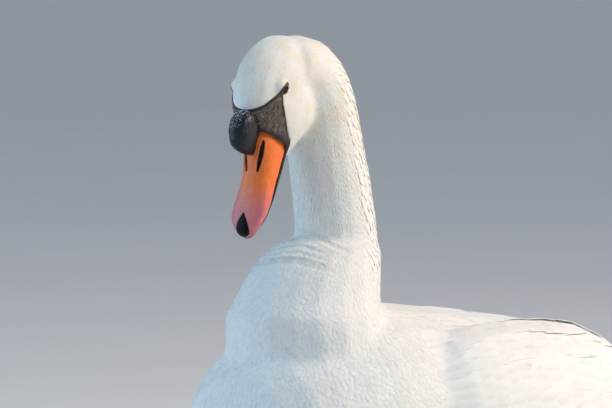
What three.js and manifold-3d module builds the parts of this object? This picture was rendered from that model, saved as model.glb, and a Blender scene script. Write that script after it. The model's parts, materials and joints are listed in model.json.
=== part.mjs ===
// A mute swan at rest, life size: it sits on its belly with its feet tucked
// beside it, its neck drawn up out of the folded breast, and its head turned a
// little to its left with the bill pointing steeply down.
//
// Millimetres, +Z up.  The bird faces -Y and its left side is +X.  The origin is
// on the floor, under the middle of the belly.

import * as THREE from 'three';
import { mergeVertices } from 'three/addons/utils/BufferGeometryUtils.js';
import Module from 'manifold-3d';

const wasm = await Module();
wasm.setup();

// ---------------------------------------------------------------- dimensions

const GAP = 0.3; // clear space between neighbouring solids
const END_CROWDING = 0.45; // how much closer sections stand at a run's ends
const NECK_Y = -205; // where the neck stands, ahead of the belly's middle

// Trunk, from the breast to the root of the tail, section by section.
const TRUNK = {
  y: [-343, -336, -320, -294, -250, -190, -130, -70, 0, 70, 145, 215, 285, 345, 372],
  top: [140, 174, 200, 222, 242, 256, 252, 243, 234, 216, 178, 142, 112, 92, 82],
  low: [130, 96, 60, 28, 2, -11, -15, -15, -15, -14, -10, 4, 26, 50, 70],
  half: [4, 44, 78, 104, 121, 131, 134, 134, 131, 124, 110, 90, 66, 40, 12],
};
const TRUNK_POWER = 2.25; // how square the trunk's sections are (2 is an oval)
const TRUNK_AXIS = 0.46; // height of a section's widest place, as a share
const TRUNK_STEPS = 22;
const TRUNK_SIDES = 22;

// Folded breast that the neck stands in, section by section from the top.
const CROP = {
  z: [318, 315, 308, 298, 288, 275, 262, 246, 225, 200],
  ahead: [5, 6, 9.5, 15.6, 22, 27, 31.6, 37, 36.5, 36],
  side: [12, 36, 48, 54, 59, 62, 66, 76, 80, 80],
  front: [14, 39, 50, 57, 62, 66, 69, 72, 71, 69],
};
const CROP_STEPS = 12;
const CROP_SIDES = 18;

// Neck: the line through its middle, and its half thickness, from the crop up.
const NECK = {
  x: [0, 0, 0, 0, 0, 0, 1, 3, 5, 7],
  ahead: [-4, -3, -1, 2, 6, 11, 17, 27, 44, 64],
  z: [225, 270, 317, 341, 366, 392, 420, 447, 466, 469],
  radius: [41, 40.5, 39.5, 38.5, 37.5, 36, 35, 34.5, 33.5, 30],
};
const NECK_STEPS = 18;
const NECK_SIDES = 16;
const NECK_CUT = 0.37; // share of the run where the middle length ends
const NECK_CUT_GAP = 0.0014; // the same gap as a share of the run

// Head: where the root of the bill is, and how the head is held.
const BILL_ROOT = new THREE.Vector3(6.8, NECK_Y - 83.4, 404);
const HEAD_YAW = THREE.MathUtils.degToRad(15); // turned to the bird's left
const HEAD_PITCH = THREE.MathUtils.degToRad(68); // nodded below the horizon

// Feathered head, from the back of the skull to the root of the bill, in the
// head's own frame: "along" runs to the bill's tip, "up" to the crown.
const SKULL = {
  along: [-97, -92, -80, -64, -47, -30, -14, 0, 8],
  top: [16, 28, 41, 51, 55, 54, 47, 33, 20],
  low: [6, -6, -22, -35, -38, -33, -25, -18, -14],
  half: [4, 18, 27, 32, 33, 31.5, 27, 20, 15],
};
const SKULL_STEPS = 14;
const SKULL_SIDES = 16;

// Feathered chin, a wedge under the root of the bill.
const CHIN = {
  along: [-35, -9, 17],
  top: [0, -2, -11],
  low: [-22, -22, -16],
  half: [17.6, 13.75, 3],
};
const CHIN_STEPS = 6;
const CHIN_SIDES = 12;

// Bill, in the head's frame.
const UPPER = {
  along: [-6, 6, 20, 36, 52, 66, 76, 84, 89, 91],
  top: [27, 27, 21, 15.5, 12, 10.5, 9.5, 7.5, 4.5, 1.5],
  low: [-7, -7.5, -7.5, -7, -5.5, -4, -3.2, -3.2, -3.8, -3],
  half: [17.5, 17.5, 16.8, 16.4, 17, 18, 17.4, 13.5, 8, 2],
};
const UPPER_STEPS = 13;
const UPPER_SIDES = 12;
const LOWER = {
  along: [4, 18, 36, 52, 66, 78, 84],
  top: [-8, -8, -7.5, -6, -4.5, -3.8, -4],
  low: [-15, -15, -13, -10.5, -8, -6.8, -5.5],
  half: [13.5, 13, 12, 11.8, 11.8, 10, 3],
};
const LOWER_STEPS = 8;
const LOWER_SIDES = 12;
const BILL_POWER = 2.4; // how square the bill's sections are
const KNOB = {
  up: [12, 20, 27, 33, 40, 48, 53, 55.5],
  along: [3, 3.5, 4, 4.5, 4.5, 4.5, 4.5, 4.5],
  half: [5, 5.5, 6.8, 9.8, 11.2, 10.6, 7.6, 2.5],
  length: [15, 17, 18.5, 19.5, 19.5, 17.4, 12, 3.5],
};
const KNOB_EGG = 0.2; // how much wider it is towards the forehead
const KNOB_POWER = 2.4;
const KNOB_STEPS = 9;
const KNOB_SIDES = 14;
const NAIL = { along: 82, length: 12.5, half: 8.4, up: 9, deep: 8.5, proud: 0.8 };
const NOSTRIL = { along: 21, up: 18.6, length: 11, deep: 2.8, side: 9.2 };

// Eyes, in the head's frame.
const EYE = { along: -41.5, up: 30, side: 21.8, radius: 8.6 };

// Folded wings, section by section from the shoulder to the tertials.
const WING = {
  y: [-188, -179, -152, -100, -35, 20, 65, 110, 185, 250, 305, 338],
  side: [98, 97, 95, 92, 88, 84, 78, 71, 58, 47, 38, 34],
  up: [150, 150, 149, 147, 142, 138, 129, 114, 100, 95, 92, 91],
  wide: [6, 24, 42, 54, 60, 60, 57, 52, 42, 32, 21, 8],
  tall: [10, 44, 76, 92, 98, 95, 85, 75, 60, 45, 29, 12],
  lean: [10, 10, 12, 14, 16, 18, 21, 24, 27, 28, 28, 28],
};
const WING_POWER = 2.2; // how square the wings' sections are
const WING_STEPS = 17;
const WING_SIDES = 16;
const SPINE_GAP = 5; // half of the groove between the two wings

// Tips of the long wing feathers, which cross above the rump and the tail.
const TIPS = {
  y: [236, 290, 345, 392, 428, 446],
  side: [50, 42, 30, 16, 2, -6],
  half: [26, 26, 24, 19, 12, 3],
  thick: [9, 8, 6.5, 5, 3.5, 1.5],
};
const TIPS_LEFT_Z = [130, 120, 111, 104, 99, 97];
const TIPS_RIGHT_Z = [112, 104, 96.5, 91, 87.5, 86];
const TIPS_STEPS = 9;
const TIPS_SIDES = 10;

// Tail: a short pointed wedge under the wing tips.
const TAIL = {
  y: [300, 340, 380, 415, 440, 456],
  up: [78, 74, 70, 68, 67, 67],
  half: [46, 62, 64, 52, 32, 8],
  thick: [20, 14, 9, 6, 4, 1.5],
};
const TAIL_STEPS = 9;
const TAIL_SIDES = 12;

// Legs, laid on the floor beside the belly, and the webbed feet before them.
const LEG = { side: 84, heel: 78, length: 108, half: 7, tall: 15, taper: 0.85 };
const TOE = { length: 132, half: 6, tall: 8, taper: 0.42 };
const TOE_SPREAD = THREE.MathUtils.degToRad(27);
const BAR = { shares: [0, 0.08, 0.45, 0.92, 1], end: 0.45, sides: 8 };
const WEB = { thick: 3, reach: 0.86, behind: 4, dip: 0.2, curve: 4 };
const TOE_SHARE = [0.9, 1, 0.92]; // of the middle toe's length, from the right
const TOE_GAP = 6; // from the end of the shank to the parting of the toes
const HIND_TOE = { length: 26, half: 3, tall: 5, taper: 0.6 };
const HIND_TOE_TURN = THREE.MathUtils.degToRad(29);
const FOOT_TURN = THREE.MathUtils.degToRad(10); // the feet turn outwards
const FOOT_ROOM = 3; // clear space round a foot under the belly

// ------------------------------------------------------------------ materials

/** A plain surface of one colour. */
function surface(colour, roughness) {
  return new THREE.MeshStandardMaterial({ color: colour, roughness, metalness: 0 });
}

const FINISH = {
  plumage: surface('#e9ebee', 0.9),
  warmPlumage: surface('#f1e7d3', 0.9),
  orangeHorn: surface('#e2783c', 0.5),
  blackSkin: surface('#17181c', 0.45),
  eye: surface('#3b2417', 0.08),
  footSkin: surface('#26272b', 0.6),
};

// ------------------------------------------------------------- solid geometry

/** A smooth curve through the stops that never swings past them. */
function through(keys, values) {
  const slope = keys.slice(1).map((key, i) => (values[i + 1] - values[i]) / (key - keys[i]));
  const tangent = keys.map((key, i) => {
    const before = slope[Math.max(i - 1, 0)];
    const after = slope[Math.min(i, slope.length - 1)];
    if (before * after <= 0) return 0;
    return (2 * before * after) / (before + after);
  });
  const way = Math.sign(keys[1] - keys[0]);
  const inner = keys.slice(1, -1);
  return (key) => {
    const i = inner.filter((stop) => way * key > way * stop).length;
    const width = keys[i + 1] - keys[i];
    const t = THREE.MathUtils.clamp((key - keys[i]) / width, 0, 1);
    const rest = 1 - t;
    return (
      values[i] * rest * rest * (1 + 2 * t) +
      values[i + 1] * t * t * (3 - 2 * t) +
      width * t * rest * (tangent[i] * rest - tangent[i + 1] * t)
    );
  };
}

/** Steps from the first key to the last, closer together at both ends. */
function steps(keys, count) {
  const first = keys[0];
  const last = keys[keys.length - 1];
  return Array.from({ length: count + 1 }, (_, i) => {
    const even = i / count;
    const eased = 0.5 - 0.5 * Math.cos(Math.PI * even);
    return first + (last - first) * THREE.MathUtils.lerp(even, eased, END_CROWDING);
  });
}

/**
 * One closed ring: an oval with its own rise and drop, squared by a power and
 * widened by the share egg where it drops.
 */
function oval(centre, across, upward, shape, sides) {
  const { half, rise, drop = rise, power = 2, egg = 0 } = shape;
  return Array.from({ length: sides }, (_, i) => {
    const angle = ((i + 0.5) / sides) * 2 * Math.PI;
    const c = Math.cos(angle);
    const s = Math.sin(angle);
    const right = half * (1 - egg * s) * Math.sign(c) * Math.abs(c) ** (2 / power);
    const up = (s > 0 ? rise : drop) * Math.sign(s) * Math.abs(s) ** (2 / power);
    return centre.clone().addScaledVector(across, right).addScaledVector(upward, up);
  });
}

/** Closed geometry over a run of rings, with a point in the middle of each end. */
function loft(rings) {
  const sides = rings[0].length;
  const middle = (ring) => ring
    .reduce((sum, point) => sum.add(point), new THREE.Vector3())
    .divideScalar(sides);
  const points = [middle(rings[0]), ...rings.flat(), middle(rings[rings.length - 1])];
  const last = points.length - 1;
  const index = [];
  for (let i = 0; i < sides; i += 1) {
    const next = (i + 1) % sides;
    index.push(0, 1 + next, 1 + i);
    index.push(last, last - sides + i, last - sides + next);
    for (let r = 0; r < rings.length - 1; r += 1) {
      const a = 1 + r * sides + i;
      const b = 1 + r * sides + next;
      index.push(a, b, b + sides, a, b + sides, a + sides);
    }
  }
  const geometry = new THREE.BufferGeometry();
  geometry.setAttribute('position', new THREE.Float32BufferAttribute(
    points.flatMap((point) => [point.x, point.y, point.z]), 3));
  geometry.setIndex(index);
  return geometry;
}

/** The solid that a closed geometry bounds, whichever way its faces turn. */
function solid(geometry, matrix = new THREE.Matrix4()) {
  const bare = geometry.clone().applyMatrix4(matrix);
  bare.deleteAttribute('normal');
  bare.deleteAttribute('uv');
  const merged = mergeVertices(bare, 1e-4);
  const vertices = Float32Array.from(merged.attributes.position.array);
  const triangles = Uint32Array.from(merged.index.array);
  if (signedVolume(vertices, triangles) < 0) {
    for (let i = 0; i < triangles.length; i += 3) {
      [triangles[i + 1], triangles[i + 2]] = [triangles[i + 2], triangles[i + 1]];
    }
  }
  return new wasm.Manifold(new wasm.Mesh({
    numProp: 3, vertProperties: vertices, triVerts: triangles,
  }));
}

/** Six times the volume inside a triangle mesh, negative if it is inside out. */
function signedVolume(vertices, triangles) {
  const corner = (i) => new THREE.Vector3().fromArray(vertices, triangles[i] * 3);
  let sum = 0;
  for (let i = 0; i < triangles.length; i += 3) {
    sum += corner(i).dot(corner(i + 1).cross(corner(i + 2)));
  }
  return sum;
}

/** The largest of the pieces that a cut has left. */
function largest(body) {
  return body.decompose().reduce((best, piece) => (
    piece.volume() > best.volume() ? piece : best));
}

/** A named mesh of a solid. */
function node(name, body, material) {
  const mesh = largest(body).getMesh();
  const geometry = new THREE.BufferGeometry();
  const vertices = Float32Array.from(mesh.vertProperties);
  geometry.setAttribute('position', new THREE.BufferAttribute(vertices, 3));
  geometry.setIndex(new THREE.BufferAttribute(Uint32Array.from(mesh.triVerts), 1));
  const part = new THREE.Mesh(geometry, material);
  part.name = name;
  return part;
}

/** An ellipsoid with its own three radii, about a point. */
function ellipsoid(centre, radii, columns, rows) {
  const matrix = new THREE.Matrix4()
    .makeTranslation(centre.x, centre.y, centre.z)
    .scale(radii);
  return solid(new THREE.SphereGeometry(1, columns, rows), matrix);
}

/** Sections stacked along one axis from a table of stops, grown at both ends. */
function ovalRun(table, key, count, place, grow) {
  const others = Object.keys(table).filter((name) => name !== key);
  const curves = others.map((name) => [name, through(table[key], table[name])]);
  const places = steps(table[key], count);
  const outward = Math.sign(places[count] - places[0]) * grow;
  return loft(places.map((at, i) => {
    const values = Object.fromEntries(curves.map(([name, curve]) => [name, curve(at)]));
    const shift = (i === count ? outward : 0) - (i === 0 ? outward : 0);
    return place(at + shift, values);
  }));
}

const X = new THREE.Vector3(1, 0, 0);
const Y = new THREE.Vector3(0, 1, 0);
const Z = new THREE.Vector3(0, 0, 1);

// ----------------------------------------------------------------------- body

/** The trunk without its neighbours, grown all round by a margin. */
function trunkForm(grow = 0) {
  return solid(ovalRun(TRUNK, 'y', TRUNK_STEPS, (y, at) => {
    const middle = at.low + TRUNK_AXIS * (at.top - at.low);
    return oval(new THREE.Vector3(0, y, middle), X, Z, {
      half: at.half + grow,
      rise: at.top - middle + grow,
      drop: middle - at.low + grow,
      power: TRUNK_POWER,
    }, TRUNK_SIDES);
  }, grow));
}

/** The fold of breast and lower neck, grown all round by a margin. */
function cropForm(grow = 0) {
  return solid(ovalRun(CROP, 'z', CROP_STEPS, (z, at) => (
    oval(new THREE.Vector3(0, NECK_Y - at.ahead, z), X, Y, {
      half: at.side + grow,
      rise: at.front + grow,
    }, CROP_SIDES)), grow));
}

/** A length of the neck between two shares of its run, grown by a margin. */
function neckForm(from, to, grow = 0) {
  const stops = NECK.z.map((z, i) => (
    new THREE.Vector3(NECK.x[i], NECK_Y - NECK.ahead[i], z)));
  const line = new THREE.CatmullRomCurve3(stops, false, 'centripetal');
  const share = NECK.z.map((_, i) => i / (NECK.z.length - 1));
  const radius = through(share, NECK.radius);
  const count = Math.max(3, Math.round(NECK_STEPS * (to - from)));
  const rings = Array.from({ length: count + 1 }, (_, i) => {
    const t = from + ((to - from) * i) / count;
    const ahead = line.getTangent(t);
    const side = X.clone().addScaledVector(ahead, -X.dot(ahead)).normalize();
    const back = new THREE.Vector3().crossVectors(ahead, side);
    return oval(line.getPoint(t), side, back, {
      half: radius(t) + grow,
      rise: radius(t) + grow,
    }, NECK_SIDES);
  });
  return solid(loft(rings));
}

// ----------------------------------------------------------------------- head

const ALONG = new THREE.Vector3(
  Math.sin(HEAD_YAW) * Math.cos(HEAD_PITCH),
  -Math.cos(HEAD_YAW) * Math.cos(HEAD_PITCH),
  -Math.sin(HEAD_PITCH));
const LEFT = new THREE.Vector3(Math.cos(HEAD_YAW), Math.sin(HEAD_YAW), 0);
const UP = new THREE.Vector3().crossVectors(ALONG, LEFT);

/** A place in the head's own frame. */
function onHead(along, up, left = 0) {
  return BILL_ROOT.clone()
    .addScaledVector(ALONG, along)
    .addScaledVector(UP, up)
    .addScaledVector(LEFT, left);
}

/** A solid built about the head's own frame: x to the left, y ahead, z up. */
function headMatrix(along, up, left = 0) {
  return new THREE.Matrix4()
    .makeBasis(LEFT, ALONG, UP)
    .setPosition(onHead(along, up, left));
}

/** A run of ovals along the head's frame from a table of stops. */
function headRun(table, count, sides, { grow = 0, power = 2 } = {}) {
  return solid(ovalRun(table, 'along', count, (along, at) => {
    const middle = (at.top + at.low) / 2;
    return oval(onHead(along, middle), LEFT, UP, {
      half: at.half + grow,
      rise: (at.top - at.low) / 2 + grow,
      power,
    }, sides);
  }, grow));
}

/** The feathered head with its chin, grown all round by a margin. */
function plumedHead(grow = 0) {
  return headRun(SKULL, SKULL_STEPS, SKULL_SIDES, { grow }).add(chinForm(grow));
}

/** The feathered chin under the root of the bill, grown by a margin. */
function chinForm(grow) {
  return headRun(CHIN, CHIN_STEPS, CHIN_SIDES, { grow });
}

/** Both eyeballs, or their sockets when grown. */
function eyeForm(side, grow = 0) {
  const radius = EYE.radius + grow;
  return solid(new THREE.SphereGeometry(radius, 12, 8),
    headMatrix(EYE.along, EYE.up, side * EYE.side));
}

/** The black knob over the root of the bill, grown all round by a margin. */
function knobForm(grow = 0) {
  return solid(ovalRun(KNOB, 'up', KNOB_STEPS, (up, at) => (
    oval(onHead(at.along, up), LEFT, ALONG, {
      half: at.half + grow,
      rise: at.length + grow,
      power: KNOB_POWER,
      egg: KNOB_EGG,
    }, KNOB_SIDES)), grow));
}

/** The hooked nail at the tip of the bill. */
function nailForm(grow = 0) {
  const radii = new THREE.Vector3(NAIL.half + grow, NAIL.length + grow, NAIL.deep + grow);
  const ball = new THREE.SphereGeometry(1, 12, 8).scale(radii.x, radii.y, radii.z);
  return solid(ball, headMatrix(NAIL.along, NAIL.up - NAIL.deep / 2));
}

/** The slot of one nostril. */
function nostrilForm(side) {
  const slot = new THREE.SphereGeometry(1, 8, 6)
    .scale(NOSTRIL.deep, NOSTRIL.length, NOSTRIL.deep);
  return solid(slot, headMatrix(NOSTRIL.along, NOSTRIL.up, side * NOSTRIL.side));
}

/** The upper bill's outer form, grown all round by a margin. */
function upperForm(grow = 0) {
  return headRun(UPPER, UPPER_STEPS, UPPER_SIDES, { grow, power: BILL_POWER });
}

/** The lower bill's outer form, grown all round by a margin. */
function lowerForm(grow = 0) {
  return headRun(LOWER, LOWER_STEPS, LOWER_SIDES, { grow, power: BILL_POWER });
}

/** The head's solids and the pieces set into it. */
function headParts() {
  const head = plumedHead()
    .subtract(upperForm(GAP))
    .subtract(lowerForm(GAP))
    .subtract(knobForm(GAP))
    .subtract(eyeForm(1, GAP))
    .subtract(eyeForm(-1, GAP));
  const upper = upperForm()
    .subtract(knobForm(GAP))
    .subtract(nailForm(GAP))
    .subtract(nostrilForm(1))
    .subtract(nostrilForm(-1));
  const lower = lowerForm().subtract(upperForm(GAP)).subtract(nailForm(GAP));
  return [
    node('head', head, FINISH.warmPlumage),
    node('bill_upper', upper, FINISH.orangeHorn),
    node('bill_lower', lower, FINISH.blackSkin),
    node('nail', nailForm().intersect(upperForm(NAIL.proud)), FINISH.blackSkin),
    node('knob', knobForm(), FINISH.blackSkin),
    node('eye_left', eyeForm(1), FINISH.eye),
    node('eye_right', eyeForm(-1), FINISH.eye),
  ];
}

// ---------------------------------------------------------------------- wings

/** One folded wing's outer form before the trunk is taken from it. */
function wingForm(side, grow = 0) {
  return solid(ovalRun(WING, 'y', WING_STEPS, (y, at) => {
    const lean = side * THREE.MathUtils.degToRad(at.lean);
    const across = new THREE.Vector3(Math.cos(lean), 0, Math.sin(lean));
    const upward = new THREE.Vector3(-Math.sin(lean), 0, Math.cos(lean));
    return oval(new THREE.Vector3(side * at.side, y, at.up), across, upward, {
      half: at.wide + grow,
      rise: at.tall + grow,
      power: WING_POWER,
    }, WING_SIDES);
  }, grow));
}

/** The crossing tips of one wing's long feathers, grown by a margin. */
function tipsForm(side, heights, grow = 0) {
  const table = { ...TIPS, up: heights };
  return solid(ovalRun(table, 'y', TIPS_STEPS, (y, at) => (
    oval(new THREE.Vector3(side * at.side, y, at.up), X, Z, {
      half: at.half + grow,
      rise: at.thick + grow,
    }, TIPS_SIDES)), grow));
}

/** The tail's wedge, grown by a margin. */
function tailForm(grow = 0) {
  return solid(ovalRun(TAIL, 'y', TAIL_STEPS, (y, at) => (
    oval(new THREE.Vector3(0, y, at.up), X, Z, {
      half: at.half + grow,
      rise: at.thick + grow,
    }, TAIL_SIDES)), grow));
}

// ----------------------------------------------------------------------- legs

/** The half of a solid that stands above the floor. */
function aboveFloor(body) {
  return body.trimByPlane([0, 0, 1], 0);
}

/** A round bar with its axis on the floor, tapered to its tip. */
function floorBar(from, heading, { length, half, tall, taper }, grow = 0) {
  const ahead = new THREE.Vector3(Math.sin(heading), -Math.cos(heading), 0);
  const across = new THREE.Vector3().crossVectors(ahead, Z);
  const rings = BAR.shares.map((share) => {
    const round = share === 0 || share === 1 ? BAR.end : 1;
    const size = round * THREE.MathUtils.lerp(1, taper, share);
    return oval(from.clone().addScaledVector(ahead, share * length), across, Z, {
      half: half * size + grow,
      rise: tall * size + grow,
    }, BAR.sides);
  });
  return solid(loft(rings));
}

/** The shank of one leg, from heel to foot, grown by a margin. */
function shankForm(side, grow = 0) {
  const heel = new THREE.Vector3(side * LEG.side, LEG.heel, 0);
  return floorBar(heel, 0, LEG, grow);
}

/** The web between the toes, a thin plate on the floor with hollow edges. */
function webForm(root, headings) {
  const reach = TOE.length * WEB.reach;
  const start = new THREE.Vector2(root.x, root.y);
  const [first, middle, last] = headings.map((heading) => new THREE.Vector2(
    root.x + reach * Math.sin(heading), root.y - reach * Math.cos(heading)));
  const outline = new THREE.Shape();
  outline.moveTo(start.x, start.y + WEB.behind);
  outline.lineTo(first.x, first.y);
  for (const [from, to] of [[first, middle], [middle, last]]) {
    const hollow = from.clone().lerp(to, 0.5).lerp(start, WEB.dip);
    outline.quadraticCurveTo(hollow.x, hollow.y, to.x, to.y);
  }
  outline.closePath();
  return solid(new THREE.ExtrudeGeometry(outline, {
    depth: WEB.thick, bevelEnabled: false, curveSegments: WEB.curve,
  }));
}

/** Where one foot's toes part, in front of the end of the shank. */
function footRoot(side) {
  return new THREE.Vector3(side * LEG.side, LEG.heel - LEG.length - TOE_GAP, 0);
}

/** The headings of one foot's three front toes. */
function toeHeadings(side) {
  return [-1, 0, 1].map((step) => side * FOOT_TURN + step * TOE_SPREAD);
}

/** One webbed foot flat on the floor. */
function footForm(side) {
  const root = footRoot(side);
  const headings = toeHeadings(side);
  const toes = headings.map((heading, i) => (
    floorBar(root, heading, { ...TOE, length: TOE.length * TOE_SHARE[i] })));
  const hind = floorBar(root, Math.PI - side * HIND_TOE_TURN, HIND_TOE);
  const bars = toes.reduce((foot, toe) => foot.add(toe), hind);
  return aboveFloor(bars).add(webForm(root, headings));
}

/** The room under the belly that one foot takes, a low fan round its toes. */
function footRoom(side) {
  const root = footRoot(side);
  const reach = TOE.length + FOOT_ROOM;
  const [inner, middle, outer] = toeHeadings(side).map((heading) => new THREE.Vector2(
    root.x + reach * Math.sin(heading), root.y - reach * Math.cos(heading)));
  const back = root.y + HIND_TOE.length + FOOT_ROOM;
  const beside = HIND_TOE.length + FOOT_ROOM;
  const outline = new THREE.Shape([
    new THREE.Vector2(root.x - beside, back),
    new THREE.Vector2(inner.x - 2 * FOOT_ROOM, inner.y),
    new THREE.Vector2(middle.x, middle.y - FOOT_ROOM),
    new THREE.Vector2(outer.x + 2 * FOOT_ROOM, outer.y),
    new THREE.Vector2(root.x + beside, back),
  ]);
  return solid(new THREE.ExtrudeGeometry(outline, {
    depth: 2 * TOE.tall + 2 * GAP, bevelEnabled: false,
  })).translate(0, 0, -TOE.tall);
}

// ------------------------------------------------------------------- assembly

/** Trunk, neck, wings and tail, each clear of its neighbours by the gap. */
function bodyParts() {
  const tips = { left: tipsForm(1, TIPS_LEFT_Z), right: tipsForm(-1, TIPS_RIGHT_Z) };
  const feet = [1, -1].flatMap((side) => [shankForm(side, 2 * GAP), footRoom(side)]);
  const trunk = aboveFloor(feet.reduce((body, piece) => body.subtract(piece), trunkForm()));
  const trunkGrown = trunkForm(GAP);
  const shaft = neckForm(0, NECK_CUT, GAP);
  const parts = [
    node('trunk', trunk.subtract(tailForm(GAP)), FINISH.plumage),
    node('neck_lower', cropForm().subtract(trunkGrown).subtract(shaft), FINISH.plumage),
    node('neck_middle', neckForm(0, NECK_CUT - NECK_CUT_GAP).subtract(trunkGrown),
      FINISH.warmPlumage),
    node('neck_upper', neckForm(NECK_CUT, 1).subtract(plumedHead(GAP)), FINISH.warmPlumage),
    node('tail', tailForm().subtract(tipsForm(1, TIPS_LEFT_Z, GAP))
      .subtract(tipsForm(-1, TIPS_RIGHT_Z, GAP)), FINISH.plumage),
  ];
  for (const side of [1, -1]) {
    const label = side > 0 ? 'left' : 'right';
    const wing = wingForm(side)
      .subtract(trunkGrown)
      .subtract(cropForm(GAP))
      .subtract(tailForm(GAP))
      .subtract(tipsForm(1, TIPS_LEFT_Z, GAP))
      .subtract(tipsForm(-1, TIPS_RIGHT_Z, GAP))
      .trimByPlane([side, 0, 0], SPINE_GAP / 2);
    parts.push(node(`wing_${label}`, wing, FINISH.plumage));
    parts.push(node(`wing_tips_${label}`, tips[label].subtract(trunkGrown), FINISH.plumage));
    parts.push(node(`leg_${label}`, aboveFloor(shankForm(side)), FINISH.footSkin));
    parts.push(node(`foot_${label}`, footForm(side).subtract(shankForm(side, GAP)),
      FINISH.footSkin));
  }
  return parts;
}

const group = new THREE.Group();
group.add(...bodyParts(), ...headParts());

export default group;
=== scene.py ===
"""A mute swan at rest, life size: skin, feathers, bill, eyes and feet.

Sizes are in millimetres and meshes in metres, with +Z up.  The bird faces -Y
and its left side is +X.
"""

import json
import logging
import math
from collections import defaultdict
from collections.abc import Callable
from dataclasses import dataclass, field
from enum import Enum

import bpy
import numpy as np
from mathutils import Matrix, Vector, noise
from mathutils.bvhtree import BVHTree

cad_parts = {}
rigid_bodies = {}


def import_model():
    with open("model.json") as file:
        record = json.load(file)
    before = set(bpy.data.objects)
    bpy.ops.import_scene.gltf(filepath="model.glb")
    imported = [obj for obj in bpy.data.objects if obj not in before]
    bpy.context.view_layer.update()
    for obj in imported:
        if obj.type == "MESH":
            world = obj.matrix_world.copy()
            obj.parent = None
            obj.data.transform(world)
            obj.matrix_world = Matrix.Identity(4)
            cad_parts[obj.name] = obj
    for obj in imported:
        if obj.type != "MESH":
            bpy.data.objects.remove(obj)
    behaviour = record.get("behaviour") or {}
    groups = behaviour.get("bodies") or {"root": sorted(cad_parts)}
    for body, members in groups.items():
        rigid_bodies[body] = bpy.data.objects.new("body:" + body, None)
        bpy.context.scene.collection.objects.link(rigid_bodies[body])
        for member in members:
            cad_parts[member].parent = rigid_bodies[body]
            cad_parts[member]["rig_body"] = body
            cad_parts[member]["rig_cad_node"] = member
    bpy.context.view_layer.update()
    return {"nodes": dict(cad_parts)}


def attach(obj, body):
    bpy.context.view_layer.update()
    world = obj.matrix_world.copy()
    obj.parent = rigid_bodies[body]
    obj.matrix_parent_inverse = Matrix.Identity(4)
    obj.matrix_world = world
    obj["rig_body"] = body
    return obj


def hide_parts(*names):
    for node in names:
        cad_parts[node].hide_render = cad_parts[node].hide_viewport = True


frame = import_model()

Array = np.ndarray
Material = bpy.types.Material
Object = bpy.types.Object
MM = 0.001
LOG = logging.getLogger("swan")
BAKE_MAP = "OFBake"
BAKE_PATCH = 0.003
VANE_MAP = "Vane"


class Side(Enum):
    """The bird's own left and right."""

    LEFT = 1
    RIGHT = -1


class Lobe(Enum):
    """Outline of a feather's free end."""

    ROUND = 0.5
    OVAL = 0.75
    POINTED = 1.2


# Arrays


def unit(vectors: Array) -> Array:
    """Each row of an array of vectors at length one."""
    return vectors / np.maximum(np.linalg.norm(vectors, axis=-1, keepdims=True), 1e-9)


def ramp(values: Array, start: float, end: float) -> Array:
    """A smooth step from 0 at start to 1 at end."""
    t = np.clip((np.asarray(values, float) - start) / (end - start), 0, 1)
    return t * t * (3 - 2 * t)


def flat_part(vectors: Array, normals: Array) -> Array:
    """What is left of each vector in the plane across its normal."""
    return vectors - normals * (vectors * normals).sum(-1, keepdims=True)


def roughness_at(points: Array, scale: float, octaves: int = 3) -> Array:
    """Fractal noise at each point, mostly from -1 to 1, with scale lumps to a unit."""
    return np.array([noise.fractal(Vector(p * scale), 0.6, 2.1, octaves) for p in points])


class Curve:
    """A smooth curve through stops that never swings past them."""

    def __init__(self, keys: tuple, values: tuple) -> None:
        """Stores the stops and works out the slope at each.

        Args:
            keys: Rising places of the stops.
            values: The value at each stop.
        """
        self.keys = np.array(keys, float)
        self.values = np.array(values, float)
        slope = np.diff(self.values) / np.diff(self.keys)
        before = np.r_[slope[0], slope]
        after = np.r_[slope, slope[-1]]
        both = before * after
        total = np.where(before + after == 0, 1, before + after)
        self.slopes = np.where(both > 0, 2 * both / total, 0)

    def __call__(self, at: Array) -> Array:
        """The curve's value at each place.

        Args:
            at: Places along the curve, held to its ends.

        Returns:
            One value for each place.
        """
        x = np.clip(np.asarray(at, float), self.keys[0], self.keys[-1])
        i = np.clip(np.searchsorted(self.keys, x) - 1, 0, len(self.keys) - 2)
        width = self.keys[i + 1] - self.keys[i]
        t = (x - self.keys[i]) / width
        rest = 1 - t
        return (
            self.values[i] * rest * rest * (1 + 2 * t)
            + self.values[i + 1] * t * t * (3 - 2 * t)
            + width * t * rest * (self.slopes[i] * rest - self.slopes[i + 1] * t)
        )


# Meshes


def unselect() -> None:
    """Leaves nothing selected."""
    bpy.ops.object.select_all(action="DESELECT")


def pick(obj: Object) -> None:
    """Makes one object the only selected and the active one."""
    unselect()
    obj.select_set(True)
    bpy.context.view_layer.objects.active = obj


def apply(obj: Object, kind: str, **settings: object) -> None:
    """Adds a modifier with its settings and applies it at once.

    Args:
        obj: The object to change.
        kind: The modifier's type.
        settings: The modifier's own values by name.
    """
    pick(obj)
    modifier = obj.modifiers.new(kind.title(), kind)
    for key, value in settings.items():
        setattr(modifier, key, value)
    bpy.ops.object.modifier_apply(modifier=modifier.name)


def edit(obj: Object, operator: Callable, **settings: object) -> None:
    """Runs one mesh operator on the whole of an object.

    Args:
        obj: The object to change.
        operator: The operator.
        settings: Its own values by name.
    """
    pick(obj)
    bpy.ops.object.mode_set(mode="EDIT")
    bpy.ops.mesh.select_all(action="SELECT")
    operator(**settings)
    bpy.ops.object.mode_set(mode="OBJECT")


def outwards(obj: Object) -> None:
    """Turns all faces of a closed mesh outwards."""
    edit(obj, bpy.ops.mesh.normals_make_consistent, inside=False)


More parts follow.
